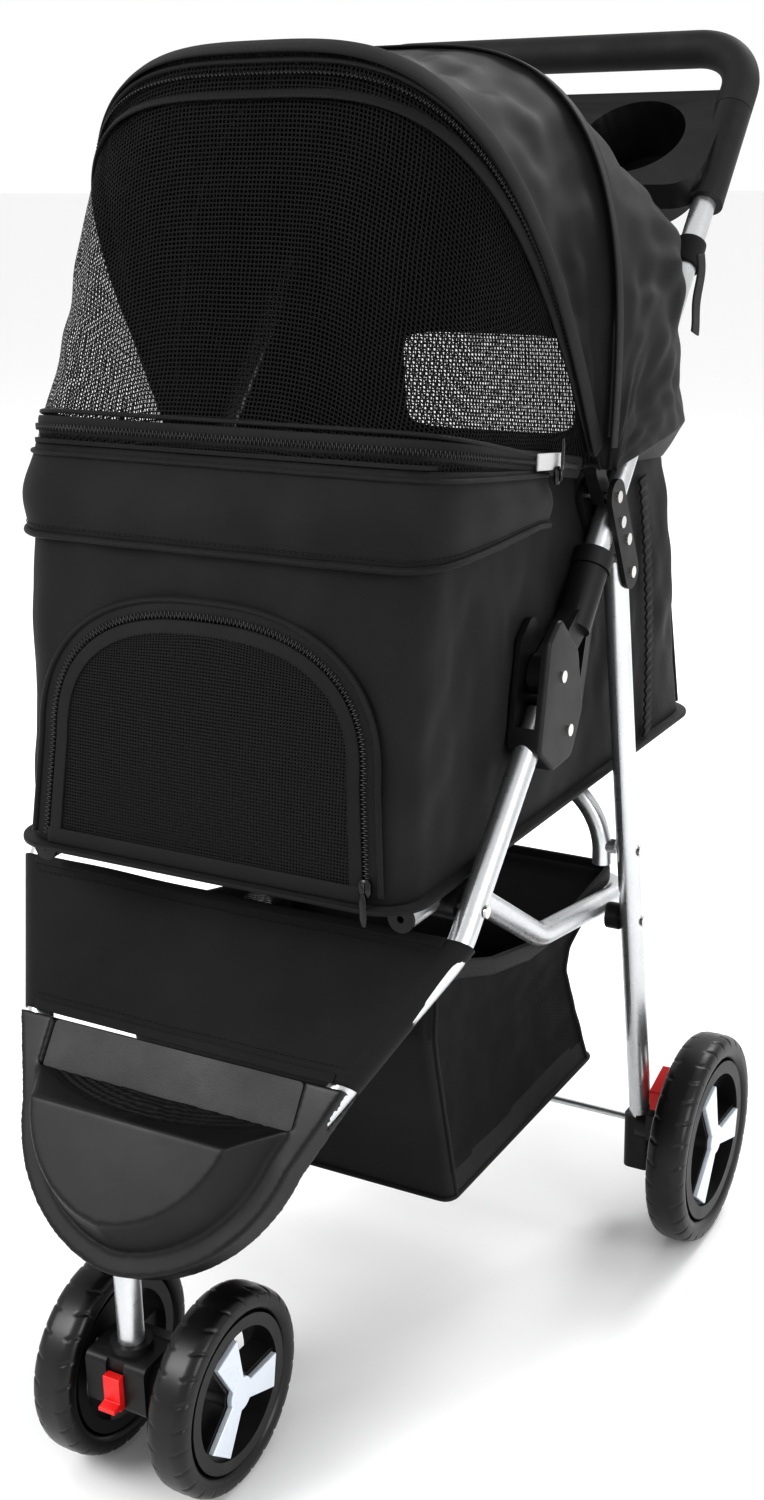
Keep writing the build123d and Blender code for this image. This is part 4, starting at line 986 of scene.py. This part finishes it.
def gusset_faces(obj, half):
    """The basket's side gussets take the close net instead of the cloth."""
    obj.data.materials.append(GUSSET)
    for face in obj.data.polygons:
        c = face.center
        if abs(c.x) > half * 0.9 and abs(face.normal.x) > 0.85 and GUSSET_LOW < c.z < GUSSET_HIGH:
            face.material_index = 1


def make_pad():
    """Floor pad: a squared ellipsoid with diagonal quilting grooves across its top."""
    low, high = (np.array(v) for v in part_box("floor_pad"))
    middle, size = (low + high) / 2, (high - low) / 2 - 0.001
    around = np.linspace(0, 2 * math.pi, 160, endpoint=False)[None, :]
    rise = np.linspace(-math.pi / 2, math.pi / 2, 60)[:, None]
    c, s = superellipse(around, 7.0)
    height = superellipse(rise, 2.6)[1]
    radial = np.sign(np.cos(rise)) * np.abs(np.cos(rise)) ** 0.5
    x = size[0] * radial * c
    y = size[1] * radial * s
    pitch = 0.09
    groove = sum(bell(np.mod(diagonal, pitch), pitch / 2, 0.006) for diagonal in (x + y, x - y))
    quilt = 1 - 0.18 * groove
    z = size[2] * height * np.where(height > 0, quilt, 1.0)
    grid = middle + np.stack([x, y, z], axis=-1)
    pad = soft(cloth("pad_cushion", grid, "pad_fabric", middle, wrap=True, thickness=0))
    merge(pad)
    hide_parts("floor_pad")


def merge(obj, distance=1e-5, outwards=True):
    """Merges doubled corners, such as a pole's, and turns the faces of a closed mesh outwards."""
    shape = bmesh.new()
    shape.from_mesh(obj.data)
    bmesh.ops.remove_doubles(shape, verts=shape.verts, dist=distance)
    if outwards:
        bmesh.ops.recalc_face_normals(shape, faces=shape.faces)
    shape.to_mesh(obj.data)
    shape.free()


# ---- wheels -----------------------------------------------------------------------
def make_tyre(node, body, blocks):
    """Tyre: a squared ring section carried round the wheel, with shoulder notches and two grooves."""
    low, high = (np.array(v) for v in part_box(node))
    centre = (low + high) / 2
    half, outer = (high[0] - low[0]) / 2, (high[2] - low[2]) / 2
    inner = outer * 0.765
    section = np.linspace(0, 2 * math.pi, 44, endpoint=False)[None, :]
    turn = np.linspace(0, 2 * math.pi, 24 * blocks, endpoint=False)[:, None]
    c, s = superellipse(section, 2.9)
    x = half * c
    r = (outer + inner) / 2 + (outer - inner) / 2 * s
    across = np.abs(x) / half
    out = np.clip(s, 0, 1)
    saw = np.mod(turn * blocks / (2 * math.pi) + across * 0.55, 1.0)
    notch = np.clip(1 - np.abs(saw - 0.5) * 9, 0, 1) * np.clip((across - 0.45) * 9, 0, 1)
    notch = notch * np.clip(out * 3 - 0.4, 0, 1)
    crown = bell(across, 0.30, 0.045) * np.clip(out * 4 - 2, 0, 1)
    sidewall = bell(s, -0.15, 0.10) * np.clip(across * 6 - 5, 0, 1)
    r = r + (-0.0010 * notch - 0.0007 * crown)
    x = x * (1 - 0.03 * notch) + np.sign(x) * 0.0006 * sidewall
    ring = np.broadcast_arrays(x + 0 * turn, r * np.cos(turn), r * np.sin(turn))
    grid = centre + np.stack(ring, axis=-1)
    count = grid.shape[0]
    faces = grid_faces(count + 1, grid.shape[1], True).reshape(-1, 4) % (count * grid.shape[1])
    obj = put(f"{node}_tread", grid, faces, "tyre")
    recalculate(obj)
    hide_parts(node)
    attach(obj, body)


def softened(node, width, angle=38.0, segments=2):
    """A moulded or cast CAD piece with its sharp edges rounded."""
    obj = copied(node)
    bevel = obj.modifiers.new("round", "BEVEL")
    bevel.width = width
    bevel.segments = segments
    bevel.limit_method = "ANGLE"
    bevel.angle_limit = math.radians(angle)
    bevel.harden_normals = True
    obj.data.set_sharp_from_angle(angle=math.radians(angle + 4))
    return obj


def make_tray():
    """Footrest tray: remeshed and smoothed to moulded radii; cosine grooves in arcs on its ledge."""
    obj = copied("footrest_tray")
    remesh = obj.modifiers.new("even", "REMESH")
    remesh.mode = "VOXEL"
    remesh.voxel_size = 0.0016
    soften = obj.modifiers.new("radii", "SMOOTH")
    soften.factor = 0.5
    soften.iterations = 9
    bpy.context.view_layer.update()
    made = bpy.data.meshes.new_from_object(obj.evaluated_get(bpy.context.evaluated_depsgraph_get()))
    obj.modifiers.clear()
    obj.data = made
    place = np.empty(3 * len(made.vertices))
    made.vertices.foreach_get("co", place)
    place = place.reshape(-1, 3)
    ledge, lip, arc, ledge_half = 0.290, -0.322, 0.170, 0.092
    pitch, sunk, grooves = 0.0052, 0.0013, 6.2
    flat = (np.clip(1 - np.abs(place[:, 2] - ledge) / 0.0012, 0, 1)
            * np.clip((ledge_half - np.abs(place[:, 0])) / 0.004, 0, 1))
    ring = (arc - 0.006 - np.hypot(place[:, 0], place[:, 1] - lip - arc)) / pitch
    inside = np.clip(ring * 4, 0, 1) * np.clip((grooves - ring) * 4, 0, 1)
    place[:, 2] -= sunk * flat * inside * np.clip(0.5 + 1.4 * np.cos(2 * math.pi * ring), 0, 1)
    made.vertices.foreach_set("co", place.ravel())
    made.materials.clear()
    made.materials.append(FINISH["moulded_black"])
    made.polygons.foreach_set("use_smooth", [True] * len(made.polygons))
    made.update()


def copied(node):
    """A merged copy of a CAD node, in its finish, that stands for it and rides on its body."""
    material_slot = SLOT_OF[node]
    mesh = frame["nodes"][node].data.copy()
    obj = bpy.data.objects.new(f"{node}_finish", mesh)
    bpy.context.scene.collection.objects.link(obj)
    shape = bmesh.new()
    shape.from_mesh(mesh)
    bmesh.ops.remove_doubles(shape, verts=shape.verts, dist=2e-6)
    flatness = math.radians(0.6)
    bmesh.ops.dissolve_limit(shape, angle_limit=flatness, verts=shape.verts, edges=shape.edges)
    shape.to_mesh(mesh)
    shape.free()
    mesh.materials.clear()
    mesh.materials.append(FINISH[material_slot])
    mesh.polygons.foreach_set("use_smooth", [True] * len(mesh.polygons))
    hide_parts(node)
    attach(obj, BODY_OF[node])
    return obj


def finish_cad():
    """Every CAD node that stays takes the finish of its slot."""
    for node, obj in frame["nodes"].items():
        obj.data.materials.clear()
        obj.data.materials.append(FINISH[SLOT_OF[node]])


def make_wheels():
    """Treaded tyres and rounded spokes and rims of all four wheels."""
    for axle, blocks in (("front", 26), ("rear", 30)):
        for side in SIDES:
            wheel = f"{axle}_wheel_{side}"
            make_tyre(f"{wheel}_tyre", wheel, blocks)
            softened(f"{wheel}_spokes", 0.0014, segments=3)
            softened(f"{wheel}_rim", 0.0008)


def make_mouldings():
    """Rounded edges on the plastic and cast pieces."""
    make_tray()
    for node, width in (("footrest_deck", 0.0008), ("console", 0.0012),
                        ("caster_housing", 0.0010), ("swivel_lock", 0.0006)):
        softened(node, width)
    for side in SIDES:
        for node, width in (("latch_bracket", 0.0010), ("latch_hook", 0.0008),
                            ("handle_sleeve", 0.0008), ("pivot_plates", 0.0008),
                            ("brake_pedal", 0.0008), ("foot_block", 0.0010)):
            softened(f"{node}_{side}", width)


def make_handle_loops():
    """Cloth loops that tie the canopy's rear edge to the handle tubes."""
    lean = math.radians(49.0)
    along = np.array([0.0, math.cos(lean), math.sin(lean)])
    normal = np.array([0.0, -math.sin(lean), math.cos(lean)])
    tube_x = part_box("handle_tube")[1][0] - 0.0095  # the tube's middle
    foot = np.array([0.0, -0.0288, 0.5397])
    up_tube, radius = 0.378, 0.0112
    a = np.linspace(0, 2 * math.pi, 60, endpoint=False)[:, None]
    for side, s in SIDES.items():
        centre = foot + along * up_tube + np.array([s * tube_x, 0, 0])
        ring = centre + radius * (np.cos(a) * np.array([s, 0, 0]) + np.sin(a) * normal)
        section = tape_section(0.024, 0.0018)
        guide = unit(ring - centre)
        obj = sweep(f"handle_loop_{side}", ring, section, guide, "fabric_black", closed=True)
        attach(obj, "handle_frame")


def make_straps():
    """Strap from each handle loop down the canopy's rear edge: a straight fall plus half a sine."""
    down = np.linspace(0, 1, 60)
    y = 0.186 - 0.010 * down + 0.003 * np.sin(math.pi * down)
    z = 0.828 - 0.058 * down
    x = 0.2025 + 0.0010 * np.sin(2.5 * math.pi * down)
    return [strip(f"canopy_strap_{side}", np.stack([s * x, y, z], axis=1), 0.016, 0.0018, (s, 0, 0))
            for side, s in SIDES.items()]


def make_stage():
    """Pale floor, white world, Standard view and soft lights."""
    pale = material("floor", Base_Color=grey(0.94), Roughness=0.9)[0]
    corners = [(-30, -30, 0), (30, -30, 0), (30, 30, 0), (-30, 30, 0)]
    put("floor", corners, [[0, 1, 2, 3]], "floor", pale, smooth=False)
    world = bpy.data.worlds.new("studio")
    bpy.context.scene.world = world
    world.use_nodes = True
    world.node_tree.nodes["Background"].inputs["Color"].default_value = grey(1.0)
    world.node_tree.nodes["Background"].inputs["Strength"].default_value = 1.0
    bpy.context.scene.view_settings.view_transform = "Standard"
    bpy.context.scene.view_settings.gamma = 0.76
    for name, place, size, power in (("key", (-1.6, -2.4, 2.6), 1.6, 75.0),
                                     ("fill", (2.8, -1.0, 1.6), 1.8, 45.0),
                                     ("rim", (0.6, 2.4, 2.6), 1.4, 50.0)):
        light = bpy.data.lights.new(name, "AREA")
        light.energy = power
        light.size = size
        lamp = bpy.data.objects.new(name, light)
        bpy.context.scene.collection.objects.link(lamp)
        lamp.location = place
        away = np.array(place) - np.array([0, 0, 0.5])
        tilt = math.acos(away[2] / np.linalg.norm(away))
        lamp.rotation_euler = (tilt, 0, math.atan2(away[1], away[0]) + math.pi / 2)


def make_camera():
    """Camera at the front left, above the object, on the long side of its frame."""
    turn, rise, roll = (math.radians(v) for v in (29.5, 18.1, -1.1))
    level = math.cos(rise)
    back = np.array([math.sin(turn) * level, -math.cos(turn) * level, math.sin(rise)])
    right = unit(np.cross([0, 0, 1], back))
    up = np.cross(back, right)
    right, up = (math.cos(roll) * right + math.sin(roll) * up,
                 -math.sin(roll) * right + math.cos(roll) * up)
    data = bpy.data.cameras.new("camera")
    data.sensor_fit = "VERTICAL"
    data.sensor_height = 36.0
    data.lens = 44.8
    camera = bpy.data.objects.new("camera", data)
    bpy.context.scene.collection.objects.link(camera)
    columns = np.column_stack([right, up, back, (0.706, -1.210, 0.915)])
    camera.matrix_world = Matrix(np.vstack([columns, (0, 0, 0, 1)]).tolist())
    bpy.context.scene.camera = camera


make_camera()
finish_cad()
make_wheels()
make_mouldings()
make_handle_loops()
make_cabin()
make_canopy()
make_window()
make_band()
make_apron()
make_basket()
make_pad()
make_stage()
